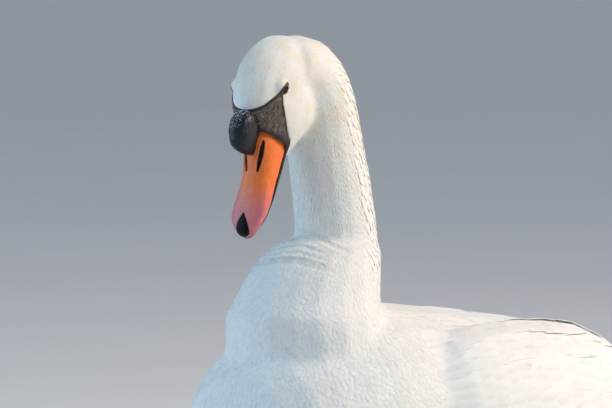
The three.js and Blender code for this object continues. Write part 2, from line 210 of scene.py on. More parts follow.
def join(parts: list[Object], name: str) -> Object:
    """Joins objects into the first of them.

    Args:
        parts: The objects.
        name: The joined object's name.

    Returns:
        The joined object.
    """
    pick(parts[0])
    for part in parts[1:]:
        part.select_set(True)
    bpy.ops.object.join()
    parts[0].name = parts[0].data.name = name
    return parts[0]


def copy_of(names: list[str], name: str) -> Object:
    """One welded copy of several solids of the frame.

    Args:
        names: The solids' node names.
        name: The new object's name.

    Returns:
        The joined copy, which stands for no node yet.
    """
    unselect()
    for node in names:
        frame["nodes"][node].select_set(True)
    bpy.context.view_layer.objects.active = frame["nodes"][names[0]]
    bpy.ops.object.duplicate()
    if len(names) > 1:
        bpy.ops.object.join()
    obj = bpy.context.view_layer.objects.active
    obj.name = obj.data.name = name
    obj.parent = None
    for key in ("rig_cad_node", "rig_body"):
        if key in obj:
            del obj[key]
    obj.data.materials.clear()
    edit(obj, bpy.ops.mesh.remove_doubles, threshold=1e-6)
    return obj


def points_of(obj: Object) -> Array:
    """The vertices of a mesh object, one row each."""
    flat = np.empty(len(obj.data.vertices) * 3)
    obj.data.vertices.foreach_get("co", flat)
    return flat.reshape(-1, 3)


def move_points(obj: Object, points: Array) -> None:
    """Puts the vertices of a mesh object at new places."""
    obj.data.vertices.foreach_set("co", np.asarray(points).ravel())
    obj.data.update()


def normals_of(obj: Object) -> Array:
    """The smooth normal at each vertex of a mesh object."""
    flat = np.empty(len(obj.data.vertices) * 3)
    obj.data.vertex_normals.foreach_get("vector", flat)
    return flat.reshape(-1, 3)


def raise_points(obj: Object, rise: Array) -> None:
    """Moves each vertex along its normal by its own rise in millimetres."""
    move_points(obj, points_of(obj) + normals_of(obj) * rise[:, None] * MM)


def mesh_object(name: str, points: Array, faces: list | Array) -> Object:
    """A new smooth-shaded mesh object.

    Args:
        name: The object's name.
        points: Vertices in metres.
        faces: Corners of each face, wound outwards.

    Returns:
        The object, in the scene.
    """
    mesh = bpy.data.meshes.new(name)
    rows = faces.tolist() if isinstance(faces, np.ndarray) else faces
    mesh.from_pydata(np.asarray(points).tolist(), [], rows)
    mesh.shade_smooth()
    obj = bpy.data.objects.new(name, mesh)
    bpy.context.collection.objects.link(obj)
    return obj


def attribute(obj: Object, name: str, values: Array) -> None:
    """Stores one number for each vertex under a name."""
    layer = obj.data.attributes.new(name, "FLOAT", "POINT")
    layer.data.foreach_set("value", np.asarray(values, np.float32))


def uv_map(obj: Object, name: str, places: Array) -> None:
    """Gives a mesh a UV map from one place for each vertex.

    Args:
        obj: The mesh object.
        name: The map's name.
        places: Two numbers for each vertex.
    """
    loops = np.empty(len(obj.data.loops), np.int32)
    obj.data.loops.foreach_get("vertex_index", loops)
    layer = obj.data.uv_layers.new(name=name)
    layer.data.foreach_set("uv", np.asarray(places, np.float32)[loops].ravel())


def finish_piece(
    obj: Object,
    material: Material,
    nodes: tuple[str, ...] = (),
) -> None:
    """Gives a piece its finish and its place in the frame.

    Args:
        obj: The finished piece.
        material: Its material.
        nodes: The solids that it stands for.
    """
    obj.data.materials.clear()
    obj.data.materials.append(material)
    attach(obj, "root")
    if nodes:
        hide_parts(*nodes)
    obj.data.calc_loop_triangles()
    LOG.info("%s: %d triangles", obj.name, len(obj.data.loop_triangles))


def grid_faces(rows: int, columns: int, closed: bool) -> Array:
    """Corners of the quads of a grid of points.

    Args:
        rows: How many rows of points there are.
        columns: How many points there are in a row.
        closed: Whether each row's end joins its start.

    Returns:
        Four corners for each face, wound for rows that run forwards and
        columns that run to the left seen from outside.
    """
    r, c = np.meshgrid(np.arange(rows - 1), np.arange(columns - (not closed)))
    a = (r * columns + c).ravel()
    b = (r * columns + (c + 1) % columns).ravel()
    return np.stack([a, b, b + columns, a + columns], 1)


class Surface:
    """A mesh that things can be laid on."""

    def __init__(self, obj: Object) -> None:
        """Reads the mesh.

        Args:
            obj: The mesh object, at the origin.
        """
        mesh = obj.data
        mesh.calc_loop_triangles()
        corners = np.empty(len(mesh.loop_triangles) * 3, np.int32)
        mesh.loop_triangles.foreach_get("vertices", corners)
        self.points = points_of(obj)
        self.normals = normals_of(obj)
        self.triangles = corners.reshape(-1, 3)
        self.tree = BVHTree.FromPolygons(
            self.points.tolist(), self.triangles.tolist(), all_triangles=True
        )

    def nearest(self, places: Array) -> tuple[Array, Array, Array]:
        """The nearest points of the surface.

        Args:
            places: Places to start from, one row each.

        Returns:
            The points, the triangle that holds each, and each one's weights
            for the triangle's corners.
        """
        find = self.tree.find_nearest
        found = [find(p) for p in places.tolist()]
        points = np.array([f[0] for f in found])
        index = np.array([f[2] for f in found])
        a, b, c = (self.points[self.triangles[index, k]] for k in range(3))
        return points, index, self._weights(points, a, b, c)

    @staticmethod
    def _weights(p: Array, a: Array, b: Array, c: Array) -> Array:
        """The weights that make each point from its triangle's corners.

        Args:
            p: Points, each in the plane of its triangle.
            a: First corners.
            b: Second corners.
            c: Third corners.

        Returns:
            Three weights for each point.
        """
        ab, ac, ap = b - a, c - a, p - a
        d00, d01, d11 = (ab * ab).sum(1), (ab * ac).sum(1), (ac * ac).sum(1)
        d20, d21 = (ap * ab).sum(1), (ap * ac).sum(1)
        below = np.maximum(d00 * d11 - d01 * d01, 1e-20)
        v = np.clip((d11 * d20 - d01 * d21) / below, 0, 1)
        w = np.clip((d00 * d21 - d01 * d20) / below, 0, 1)
        return np.stack([1 - v - w, v, w], 1)

    def blend(self, values: Array, index: Array, weights: Array) -> Array:
        """Rows stored for the vertices, read at points by triangle and weights."""
        return (values[self.triangles[index]] * weights[:, :, None]).sum(1)

    def cast(self, starts: Array, ways: Array) -> Array:
        """Where rays from outside first meet the surface.

        Args:
            starts: Where each ray starts.
            ways: The direction of each.

        Returns:
            One point for each ray that meets the surface.
        """
        send = self.tree.ray_cast
        hits = [send(s, w)[0] for s, w in zip(starts.tolist(), ways.tolist())]
        return np.array([hit for hit in hits if hit is not None])

    def laid(self, places: Array) -> tuple[Array, Array]:
        """The nearest points of the surface and the smooth normals there."""
        points, index, weights = self.nearest(places)
        return points, unit(self.blend(self.normals, index, weights))


# Materials


class Nodes:
    """A small helper that lays out one material's nodes."""

    def __init__(self, name: str) -> None:
        """Starts a material with a bare shader.

        Args:
            name: The material's name.
        """
        self.material = bpy.data.materials.new(name)
        self.material.use_nodes = True
        self.tree = self.material.node_tree
        self.shader = self.tree.nodes["Principled BSDF"]

    def add(self, kind: str, **settings: object) -> bpy.types.Node:
        """Adds a node.

        Args:
            kind: The node's type, without its ShaderNode prefix.
            settings: The node's own values by name.

        Returns:
            The new node.
        """
        node = self.tree.nodes.new("ShaderNode" + kind)
        for key, value in settings.items():
            setattr(node, key, value)
        return node

    def link(self, source: object, target: object) -> None:
        """Joins an output to an input, or sets the input to a plain value.

        Args:
            source: An output socket, a number or a colour.
            target: The input socket.
        """
        if isinstance(source, bpy.types.NodeSocket):
            self.tree.links.new(source, target)
        else:
            target.default_value = source

    def scaled(self, place: object, scale: tuple[float, float, float]) -> object:
        """A place times a scale along each axis.

        Args:
            place: The place's socket.
            scale: How many units of the pattern there are to one of the place.

        Returns:
            The scaled place's socket.
        """
        mapping = self.add("Mapping")
        mapping.inputs["Scale"].default_value = scale
        self.link(place, mapping.inputs["Vector"])
        return mapping.outputs["Vector"]

    def object_place(self, scale: float) -> object:
        """The place on the object in metres, times a scale."""
        return self.scaled(self.add("TexCoord").outputs["Object"], (scale,) * 3)

    def uv_place(self, name: str, scale: tuple[float, float, float]) -> object:
        """The place on a named UV map, times a scale."""
        return self.scaled(self.add("UVMap", uv_map=name).outputs["UV"], scale)

    def stored(self, name: str) -> object:
        """The number stored for the mesh's vertices under a name."""
        return self.add("Attribute", attribute_name=name).outputs["Fac"]

    def lumps(self, place: object, detail: float) -> object:
        """Noise at a place, from 0 to 1."""
        node = self.add("TexNoise")
        node.inputs["Scale"].default_value = 1.0
        node.inputs["Detail"].default_value = detail
        self.link(place, node.inputs["Vector"])
        return node.outputs["Fac"]

    def grain(self, scale: float, detail: float) -> object:
        """Noise over the object, from 0 to 1, with so many lumps to a metre."""
        return self.lumps(self.object_place(scale), detail)

    def spread(self, value: object, low: float, high: float) -> object:
        """A value stretched so that low becomes 0 and high becomes 1."""
        node = self.add("MapRange", clamp=True)
        self.link(value, node.inputs["Value"])
        node.inputs["From Min"].default_value = low
        node.inputs["From Max"].default_value = high
        return node.outputs["Result"]

    def times(self, first: object, second: object) -> object:
        """The product of two values."""
        node = self.add("Math", operation="MULTIPLY")
        self.link(first, node.inputs[0])
        self.link(second, node.inputs[1])
        return node.outputs[0]

    def mixed(self, share: object, first: object, second: object) -> object:
        """A colour between two others.

        Args:
            share: How much of the second there is.
            first: A colour or a colour socket.
            second: A colour or a colour socket.

        Returns:
            The mixed colour's socket.
        """
        node = self.add("Mix", data_type="RGBA")
        self.link(share, node.inputs["Factor"])
        self.link(first, node.inputs[6])
        self.link(second, node.inputs[7])
        return node.outputs[2]

    def paint(self, hue: object) -> None:
        """Gives the shader its base colour."""
        self.link(hue, self.shader.inputs["Base Color"])

    def relief(self, height: object, strength: float, distance: float) -> None:
        """Adds a fine relief to the shader.

        Args:
            height: The relief's height, from 0 to 1.
            strength: How strongly it shows.
            distance: How high 1 stands, in metres.
        """
        bump = self.add("Bump")
        bump.inputs["Strength"].default_value = strength
        bump.inputs["Distance"].default_value = distance
        self.link(height, bump.inputs["Height"])
        self.link(bump.outputs["Normal"], self.shader.inputs["Normal"])

    def set(self, **values: object) -> None:
        """Sets the shader's own inputs, named with _ for each space."""
        for key, value in values.items():
            self.shader.inputs[key.replace("_", " ")].default_value = value


def colour(red: float, green: float, blue: float) -> tuple:
    """A linear colour that is fully opaque."""
    return (red, green, blue, 1.0)


@dataclass(frozen=True)
class Plumage:
    """White feathers, with a warm stain where the bird wears one."""

    name: str = "plumage"
    white: tuple = colour(0.86, 0.875, 0.89)
    stain: tuple = colour(0.83, 0.70, 0.49)
    # Grey mixed in by a random tone per feather and by painted shade in the breast's creases.
    grey_for_tone_and_shade: tuple = colour(0.60, 0.61, 0.63)
    streak_scale: tuple = (1400.0, 120.0, 1.0)
    streak_height: float = 0.00012
    streak: float = 0.35

    def base(self, n: Nodes) -> object:
        """White, mottled with as much of the stain as each vertex wears.

        Args:
            n: The material's nodes.

        Returns:
            The colour's socket.
        """
        mottle = n.spread(n.grain(70.0, 4), 0.25, 0.75)
        return n.mixed(n.times(n.stored("stain"), mottle), self.white, self.stain)

    def material(self) -> Material:
        """The finish, which reads each vertex's stain and its grey share: a random tone plus
        painted shade in the breast's creases.

        Returns:
            The material.
        """
        n = Nodes(self.name)
        # Painted shade: the grey share also darkens the creases of the folded breast.
        grey = n.mixed(n.stored("shade"), self.base(n), self.grey_for_tone_and_shade)
        streaks = n.lumps(n.uv_place(VANE_MAP, self.streak_scale), 2)
        n.paint(grey)
        n.relief(streaks, self.streak, self.streak_height)
        n.set(
            Roughness=0.75,
            Specular_IOR_Level=0.25,
            Sheen_Weight=0.25,
            Sheen_Roughness=0.5,
            Subsurface_Weight=0.12,
            Subsurface_Radius=(0.004, 0.0035, 0.003),
            Subsurface_Scale=1.0,
        )
        return n.material


@dataclass(frozen=True)
class BareDown:
    """The down and skin that lie under the feathers."""

    name: str = "down"

    def material(self) -> Material:
        """The finish, with the coat's own stain.

        Returns:
            The material.
        """
        n = Nodes(self.name)
        n.paint(Plumage().base(n))
        n.relief(n.grain(900.0, 2), 0.4, 0.0003)
        n.set(Roughness=0.9, Specular_IOR_Level=0.1)
        return n.material


@dataclass(frozen=True)
class BlackSkin:
    """Bare black skin, glossy on the knob and dull on the lores."""

    name: str
    dark: tuple = colour(0.007, 0.010, 0.018)
    # Pale brown of wear; on the lores it also carries painted highlight on the wrinkles.
    worn: tuple = colour(0.13, 0.105, 0.085)
    roughness: float = 0.3
    coat: float = 0.3
    specular: float = 0.5
    grain: float = 1500.0
    relief: float = 0.5

    def material(self) -> Material:
        """The finish, which reads each vertex's share of wear, with painted highlight on the
        lores' wrinkles, over a wrinkled grain.

        Returns:
            The material.
        """
        n = Nodes(self.name)
        grain = n.grain(self.grain, 4)
        worn = n.times(n.stored("worn"), n.spread(grain, 0.3, 0.7))
        n.paint(n.mixed(worn, self.dark, self.worn))
        n.relief(grain, self.relief, 0.0004)
        n.set(Roughness=self.roughness, Specular_IOR_Level=self.specular)
        n.set(Coat_Weight=self.coat, Coat_Roughness=0.15)
        return n.material


@dataclass(frozen=True)
class OrangeHorn:
    """The bill's horn: orange at the root, pink towards the tip, black edges."""

    name: str = "orange_horn"
    root: tuple = colour(0.80, 0.165, 0.024)
    tip: tuple = colour(0.54, 0.155, 0.21)
    black: tuple = colour(0.012, 0.012, 0.016)

    def material(self) -> Material:
        """The finish, which reads the vertices' pink and black shares.

        Returns:
            The material.
        """
        n = Nodes(self.name)
        body = n.mixed(n.stored("pink"), self.root, self.tip)
        blotch = n.grain(160.0, 5)
        pale = n.mixed(n.times(n.spread(blotch, 0.45, 0.8), 0.3), body, colour(0.84, 0.32, 0.14))
        deep = n.grain(420.0, 4)
        rich = n.mixed(n.times(n.spread(deep, 0.5, 0.85), 0.3), pale, colour(0.52, 0.1, 0.02))
        n.paint(n.mixed(n.stored("black"), rich, self.black))
        n.relief(n.grain(1300.0, 3), 0.25, 0.0003)
        n.set(
            Roughness=0.42,
            Specular_IOR_Level=0.45,
            Subsurface_Weight=0.15,
            Subsurface_Radius=(0.004, 0.0015, 0.0008),
            Subsurface_Scale=1.0,
        )
        return n.material


@dataclass(frozen=True)
class EyeGloss:
    """A dark brown eye with a black pupil under a wet surface."""

    name: str = "eye"

    def material(self) -> Material:
        """The finish, which reads each vertex's share of pupil and iris.

        Returns:
            The material.
        """
        n = Nodes(self.name)
        fibres = n.grain(900.0, 3)
        iris = n.mixed(fibres, colour(0.20, 0.055, 0.012), colour(0.06, 0.016, 0.005))
        inner = n.mixed(n.stored("pupil"), iris, colour(0.003, 0.003, 0.004))
        n.paint(n.mixed(n.stored("white_of_eye"), inner, colour(0.02, 0.012, 0.01)))
        n.set(Roughness=0.1, Specular_IOR_Level=0.2)
        n.set(Coat_Weight=0.12, Coat_Roughness=0.02)
        return n.material


@dataclass(frozen=True)
class LidSkin:
    """The pink and dark rim of the eyelids."""

    name: str = "lid"

    def material(self) -> Material:
        """The finish, which reads each vertex's share of pink.

        Returns:
            The material.
        """
        n = Nodes(self.name)
        n.paint(n.mixed(n.stored("pink"), colour(0.02, 0.015, 0.013), colour(0.22, 0.09, 0.05)))
        n.relief(n.grain(1800.0, 2), 0.4, 0.0002)
        n.set(Roughness=0.4, Specular_IOR_Level=0.5)
        return n.material


@dataclass(frozen=True)
class DropGloss:
    """Small pale specks on the knob, half wet and half crust."""

    name: str = "specks"

    def material(self) -> Material:
        """The finish.

        Returns:
            The material.
        """
        n = Nodes(self.name)
        lumps = n.grain(2500.0, 2)
        n.paint(n.mixed(lumps, colour(0.75, 0.8, 0.86), colour(0.5, 0.55, 0.62)))
        n.set(Roughness=0.2, Coat_Weight=0.5, Coat_Roughness=0.05)
        return n.material


@dataclass(frozen=True)
class FootSkin:
    """Black webbed skin with small scales."""

    name: str = "foot_skin"

    def material(self) -> Material:
        """The finish.

        Returns:
            The material.
        """
        n = Nodes(self.name)
        cells = n.add("TexVoronoi", feature="DISTANCE_TO_EDGE")
        cells.inputs["Scale"].default_value = 1.0
        n.link(n.object_place(420.0), cells.inputs["Vector"])
        scale = n.spread(cells.outputs["Distance"], 0.0, 0.12)
        n.paint(n.mixed(scale, colour(0.055, 0.05, 0.045), colour(0.017, 0.017, 0.019)))
        n.relief(scale, 0.5, 0.0004)
        n.set(Roughness=0.5, Specular_IOR_Level=0.4)
        return n.material


# Head


@dataclass(frozen=True)
class HeadFrame:
    """The head's own axes: along the bill, up to the crown, and to its left."""

    root: tuple = (6.8, -288.4, 404.0)
    yaw: float = math.radians(15)
    pitch: float = math.radians(68)

    def axes(self) -> Array:
        """The three axes as rows: along, up and left."""
        cy, sy = math.cos(self.yaw), math.sin(self.yaw)
        cp, sp = math.cos(self.pitch), math.sin(self.pitch)
        along = np.array([sy * cp, -cy * cp, -sp])
        left = np.array([cy, sy, 0.0])
        return np.stack([along, np.cross(along, left), left])

    def place(self, local: Array) -> Array:
        """Places in metres from rows of along, up and left in millimetres."""
        return (np.array(self.root) + np.asarray(local, float) @ self.axes()) * MM

    def read(self, points: Array) -> Array:
        """Rows of along, up and left in millimetres from places in metres."""
        return (np.asarray(points) / MM - np.array(self.root)) @ self.axes().T


HEAD = HeadFrame()


@dataclass(frozen=True)
class EyeSize:
    """Where one eye is in the head's frame and how far its lids open."""

    along: float = -40.6
    up: float = 31.0
    side: float = 22.0
    radius: float = 7.7
    open_long: float = 5.9
    open_high: float = 3.0
    open_low: float = 5.5
    tilt: float = math.radians(-18)
    turn: float = math.radians(12)

    def centre(self, side: Side) -> Array:
        """The middle of one eyeball in the head's frame."""
        return np.array([self.along, self.up, side.value * self.side])

    def lens(self, local: Array) -> tuple[Array, Array]:
        """Places on the face in the eye's own turned and tilted frame.

        Args:
            local: Rows of along, up and left in millimetres.

        Returns:
            The distance along the opening, forwards, and the one across it.
        """
        a, u = local[:, 0] - self.along, local[:, 1] - self.up
        out = np.abs(local[:, 2]) - self.side
        a = a * math.cos(self.turn) - out * math.sin(self.turn)
        c, s = math.cos(self.tilt), math.sin(self.tilt)
        return a * c - u * s, a * s + u * c

    def reach(self, local: Array) -> Array:
        """How far out each place is from the eye, 1 at the opening's edge."""
        far, high = self.lens(local)
        tall = np.where(high > 0, self.open_high, self.open_low)
        return np.hypot(far / self.open_long, high / tall)

    def on_ball(self, far: Array, high: Array, rise: float, side: Side) -> Array:
        """Places just over the eyeball.

        Args:
            far: Distances along the opening, forwards, in millimetres.
            high: Distances across it, upwards.
            rise: The height above the ball.
            side: Which eye it is.

        Returns:
            The places in metres.
        """
        c, s = math.cos(self.tilt), math.sin(self.tilt)
        a, u = far * c + high * s, high * c - far * s
        deep = np.sqrt(np.maximum(self.radius**2 - a * a - u * u, 9.0))
        scale = (np.sqrt(a * a + u * u + deep * deep) + rise) / self.radius
        c, s = math.cos(self.turn), math.sin(self.turn)
        local = np.stack([a * c + deep * s, u, (deep * c - a * s) * side.value], 1)
        return HEAD.place(self.centre(side) + local * scale[:, None])


EYE = EyeSize()

# Height above which the face is bare, clear of the folded breast.
BARE_ABOVE = 380.0

# The bare skin's rear edge and its front edge along the bill, from the gape up
# past the corner of the eye and over to the middle of the forehead.
LORES_REAR = (
    (11.0, -12.0, 12.2),
    (4.5, -8.2, 16.0),
    (-1.5, -3.2, 19.0),
    (-3.6, 2.5, 21.0),
    (-10.5, 14.0, 25.0),
    (-18.5, 22.3, 26.8),
    (-25.6, 28.2, 27.3),
    (-33.4, 32.0, 26.6),
    (-33.4, 34.0, 26.0),
    (-25.7, 39.0, 21.9),
    (-19.0, 41.8, 16.7),
    (-15.6, 43.5, 10.6),
    (-14.2, 44.3, 4.3),
    (-14.0, 44.4, 0.0),
)
LORES_FRONT = (
    (14.5, -8.0, 14.5),
    (9.0, -5.8, 16.5),
    (3.5, -1.5, 17.5),
    (1.5, 3.0, 18.5),
    (1.5, 9.0, 18.0),
    (1.5, 14.0, 17.2),
    (1.2, 19.0, 16.5),
    (0.8, 23.5, 15.2),
    (0.3, 27.0, 13.8),
    (-0.2, 30.0, 11.5),
    (-0.8, 32.0, 8.0),
    (-1.8, 33.5, 4.0),
    (-2.5, 34.0, 1.5),
    (-2.5, 34.0, 0.0),
)


@dataclass(frozen=True)
class HeadForm:
    """A run of ovals along the head's frame, by its sizes at a few places.

    The power says how square the ovals' upper and lower halves are, 2 for
    true ones.
    """

    along: tuple
    top: tuple
    low: tuple
    half: tuple
    shift: tuple = ()
    power: tuple = (2.0, 2.0)

    def at(self, values: tuple, along: Array) -> Array:
        """One of the sizes, read at places along the head."""
        return Curve(self.along, values)(along)

    def rings(self, count: int, sides: int) -> Array:
        """The form as rings of points, closer together at its ends.

        Args:
            count: How many rings there are.
            sides: How many points there are in a ring.

        Returns:
            The rings in metres.
        """
        share = np.linspace(0, 1, count)
        ease = 0.5 - 0.5 * np.cos(np.pi * share)
        along = self.along[0] + (self.along[-1] - self.along[0]) * (0.45 * share + 0.55 * ease)
        top, low, half = (self.at(v, along) for v in (self.top, self.low, self.half))
        shift = self.at(self.shift, along) if self.shift else 0 * along
        angle = (np.arange(sides) + 0.5) / sides * 2 * np.pi
        square = 2 / np.where(np.sin(angle) < 0, self.power[1], self.power[0])
        c, s = (np.sign(a) * np.abs(a) ** square for a in (np.cos(angle), np.sin(angle)))
        local = np.empty((count, sides, 3))
        local[:, :, 0] = along[:, None]
        local[:, :, 1] = ((top + low) / 2)[:, None] + ((top - low) / 2)[:, None] * s
        local[:, :, 2] = shift[:, None] + half[:, None] * c
        return HEAD.place(local.reshape(-1, 3)).reshape(local.shape)


def polyline(stops: tuple | Array, count: int) -> Array:
    """Evenly spread points on a smooth line through stops.

    Args:
        stops: Places that the line passes.
        count: How many points are wanted.

    Returns:
        The points, one row each.
    """
    rows = np.array(stops, float)
    share = np.linspace(0, 1, len(rows))
    at = np.linspace(0, 1, count)
    return np.stack([Curve(share, rows[:, k])(at) for k in range(3)], 1)


def inside(local: Array, outline: Array) -> Array:
    """Which places lie inside an outline drawn along and up on the face.

    Args:
        local: Rows of along, up and left in millimetres.
        outline: Corners of the outline, along and up.

    Returns:
        True for each place inside.
    """
    x, y = local[:, 0], local[:, 1]
    result = np.zeros(len(local), bool)
    for (x0, y0), (x1, y1) in zip(outline, np.roll(outline, -1, 0)):
        crosses = (y0 > y) != (y1 > y)
        run = x0 + (y - y0) / (y1 - y0 if y1 != y0 else 1e-9) * (x1 - x0)
        result ^= crosses & (x < run)
    return result


def bare_face(local: Array) -> Array:
    """Which places of the head's frame carry bare black skin or horn."""
    ahead = [(30.0, 60.0), (30.0, -4.5)]
    return inside(local, np.concatenate([polyline(LORES_REAR, 60)[:, :2], ahead]))


# Skin


@dataclass
class BodySkin:
    """One skin over trunk, neck, head and wings, inside the feathers."""

    voxel: float = 2.6
    overlap: float = 0.35
    smoothing: int = 10
    shown_share: float = 0.42
    nodes: tuple = (
        "trunk",
        "neck_lower",
        "neck_middle",
        "neck_upper",
        "head",
        "wing_left",
        "wing_right",
    )
    throat: HeadForm = HeadForm(
        along=(-66, -47, -30, -14, 0, 8, 14, 20),
        top=(49, 54, 53, 46, 32, 19, 4, -8),
        low=(-42, -50, -45, -34, -26, -21, -18, -13),
        half=(31, 33, 32.5, 28.5, 21, 16.5, 11, 3),
    )
    spine: tuple = (
        (6.8, -288.4, 404.0),
        (4.5, -281.0, 440.0),
        (5.0, -272.0, 466.0),
        (5.0, -252.0, 478.0),
        (4.0, -234.0, 470.0),
        (2.5, -226.0, 447.0),
        (1.0, -220.0, 420.0),
        (0.0, -215.0, 392.0),
        (0.0, -210.5, 366.0),
        (0.0, -207.0, 341.0),
        (0.0, -205.0, 317.0),
        (0.0, -204.0, 290.0),
    )
    obj: Object = field(init=False)
    surface: Surface = field(init=False)
    lie: Array = field(init=False)

    def build(self) -> None:
        """Makes the working surface, the feathers' lie and the shown skin."""
        obj = copy_of([*self.nodes, "eye_left", "eye_right"], "skin")
        move_points(obj, points_of(obj) + normals_of(obj) * self.overlap * MM)
        self.fill_throat(obj)
        apply(obj, "REMESH", mode="VOXEL", voxel_size=self.voxel * MM)
        apply(obj, "SMOOTH", factor=0.5, iterations=self.smoothing)
        self.refine(obj)
        self.fold(obj)
        self.sink(obj)
        self.surface = Surface(obj)
        self.lie = self.flow()
        self.obj = obj

    def fill_throat(self, obj: Object) -> None:
        """Joins the loose feathering of jaw and throat to a form of the head.

        Args:
            obj: The form, which is remeshed afterwards.
        """
        join([obj, lofted("throat", self.throat.rings(40, 60))], obj.name)

    def refine(self, obj: Object) -> None:
        """Divides the faces of the head and of the folded breast more finely.

        Args:
            obj: The skin.
        """
        for low, high, front in ((250, 600, -150), (262, 326, -212)):
            y, z = (points_of(obj) / MM)[:, 1:].T
            pick(obj)
            bpy.ops.object.mode_set(mode="EDIT")
            bpy.ops.mesh.select_mode(type="VERT")
            bpy.ops.mesh.select_all(action="DESELECT")
            bpy.ops.object.mode_set(mode="OBJECT")
            fine = (z > low) & (z < high) & (y < front)
            obj.data.vertices.foreach_set("select", fine)
            bpy.ops.object.mode_set(mode="EDIT")
            bpy.ops.mesh.subdivide(number_cuts=1, smoothness=0.6)
            bpy.ops.object.mode_set(mode="OBJECT")
            apply(obj, "SMOOTH", factor=0.5, iterations=3)

    def fold(self, obj: Object) -> None:
        """Adds the ripples of the folded breast and the lip round the neck.

        Args:
            obj: The skin.
        """
        ripple, crease, groove, lip = fold_lines(points_of(obj))
        raise_points(obj, 0.36 * ripple - 0.7 * crease - 1.2 * groove + 0.7 * lip)

    def sink(self, obj: Object) -> None:
        """Lowers the skin by the coat's depth and opens the eyes.

        Args:
            obj: The skin.
        """
        points, normals = points_of(obj), normals_of(obj)
        _, y, z = (points / MM).T
        local = HEAD.read(points)
        depth = 3.6 - 1.2 * ramp(z, 200, 300) - 0.8 * ramp(z, 320, 420)
        depth -= 0.4 * ramp(-np.linalg.norm(local, axis=1), -90, -50)
        depth += ramp(y, -200, -100) * (1.2 - 1.6 * ramp(y, 250, 330))
        bare = bare_face(local) & (z > BARE_ABOVE)
        depth += (1.3 + 1.7 * ramp(local[:, 0], -7, -1)) * bare
        for _ in range(2):
            points -= normals * depth[:, None] * 0.5 * MM
            move_points(obj, points)
            normals = normals_of(obj)
        local = HEAD.read(points)
        ring = np.zeros(len(points), bool)
        for side in Side:
            centre = EYE.centre(side)
            away = local - centre
            reach = np.linalg.norm(away, axis=1)
            ours = (local[:, 2] * side.value > 8) & (reach < EYE.radius + 8)
            far, high = EYE.lens(local)
            brow = np.exp(-(((high - EYE.open_high - 3.0) / 2.4) ** 2))
            brow = 0.4 * brow * (1 - ramp(np.abs(far), 5, 13)) * ours
            out = EYE.reach(local)
            wanted = EYE.radius - 0.8 + 1.2 * ramp(out, 0.9, 1.15)
            share = (1 - ramp(out, 1.2, 2.1)) * ours
            grown = reach * (1 - share) + wanted * share + brow
            cover = np.maximum(grown, EYE.radius + 0.45)
            grown = np.where(ours & (out > 1.12), cover, grown)
            local = centre + away * (grown / np.maximum(reach, 1e-6))[:, None]
            ring |= ours & (out > 1.7)
        move_points(obj, HEAD.place(local))
        hollow = (z > 180) & (z < 335) & (y < -120)
        for where, times in ((ring, 10), (hollow, 4)):
            group = obj.vertex_groups.new(name="eased")
            group.add(np.flatnonzero(where).tolist(), 1.0, "REPLACE")
            apply(obj, "SMOOTH", factor=0.5, iterations=times, vertex_group="eased")
            obj.vertex_groups.clear()

    def flow(self) -> Array:
        """The way that feathers lie at each vertex of the working surface.

        Returns:
            One unit vector for each vertex, along the surface.
        """
        points, normals = self.surface.points, self.surface.normals
        x, y, z = (points / MM).T
        line = np.array(self.spine)
        middle = (line[1:] + line[:-1]) / 2
        heading = unit(line[1:] - line[:-1])
        away = np.linalg.norm(points[:, None] / MM - middle[None], axis=2)
        weights = 1 / (away**2 + 30) ** 3
        neck = unit((weights[:, :, None] * heading[None]).sum(1))
        body = np.zeros_like(points)
        drop = 0.55 - 0.75 * ramp(y, 60, 260)
        body[:, 1], body[:, 2] = 1.0, -drop
        front = ramp(-y, 150, 270)[:, None]
        body = body * (1 - front) + np.array([0.0, 0.15, -1.0]) * front
        outward = unit(np.stack([x, y + 215, 0 * x], 1))
        outward[:, 2] = -1.0
        share = ramp(z, 165, 225)[:, None] * ramp(-y, 120, 170)[:, None]
        raw = body * (1 - share) + outward * share
        share = ramp(z, 300, 335)[:, None] * ramp(-y, 120, 170)[:, None]
        raw = raw * (1 - share) + neck * share
        lie = flat_part(raw, normals)
        strength = np.linalg.norm(lie, axis=1, keepdims=True)
        lie = lie * np.minimum(strength, 0.5)
        a, b = self._edges()
        for _ in range(24):
            total = lie.copy()
            np.add.at(total, a, lie[b])
            np.add.at(total, b, lie[a])
            lie = unit(flat_part(total, normals)) * np.minimum(strength + 0.05, 0.5)
        return unit(lie)

    def _edges(self) -> tuple[Array, Array]:
        """The two ends of each edge of the working surface."""
        t = self.surface.triangles
        pairs = np.concatenate([t[:, [0, 1]], t[:, [1, 2]], t[:, [2, 0]]])
        pairs = np.unique(np.sort(pairs, 1), axis=0)
        return pairs[:, 0], pairs[:, 1]

    def show(self) -> None:
        """Thins the skin to what the export takes and dresses it."""
        self.obj.data.shade_smooth()
        apply(self.obj, "DECIMATE", ratio=self.shown_share)
        attribute(self.obj, "stain", stain_at(points_of(self.obj)))
        finish_piece(self.obj, BareDown().material(), self.nodes)


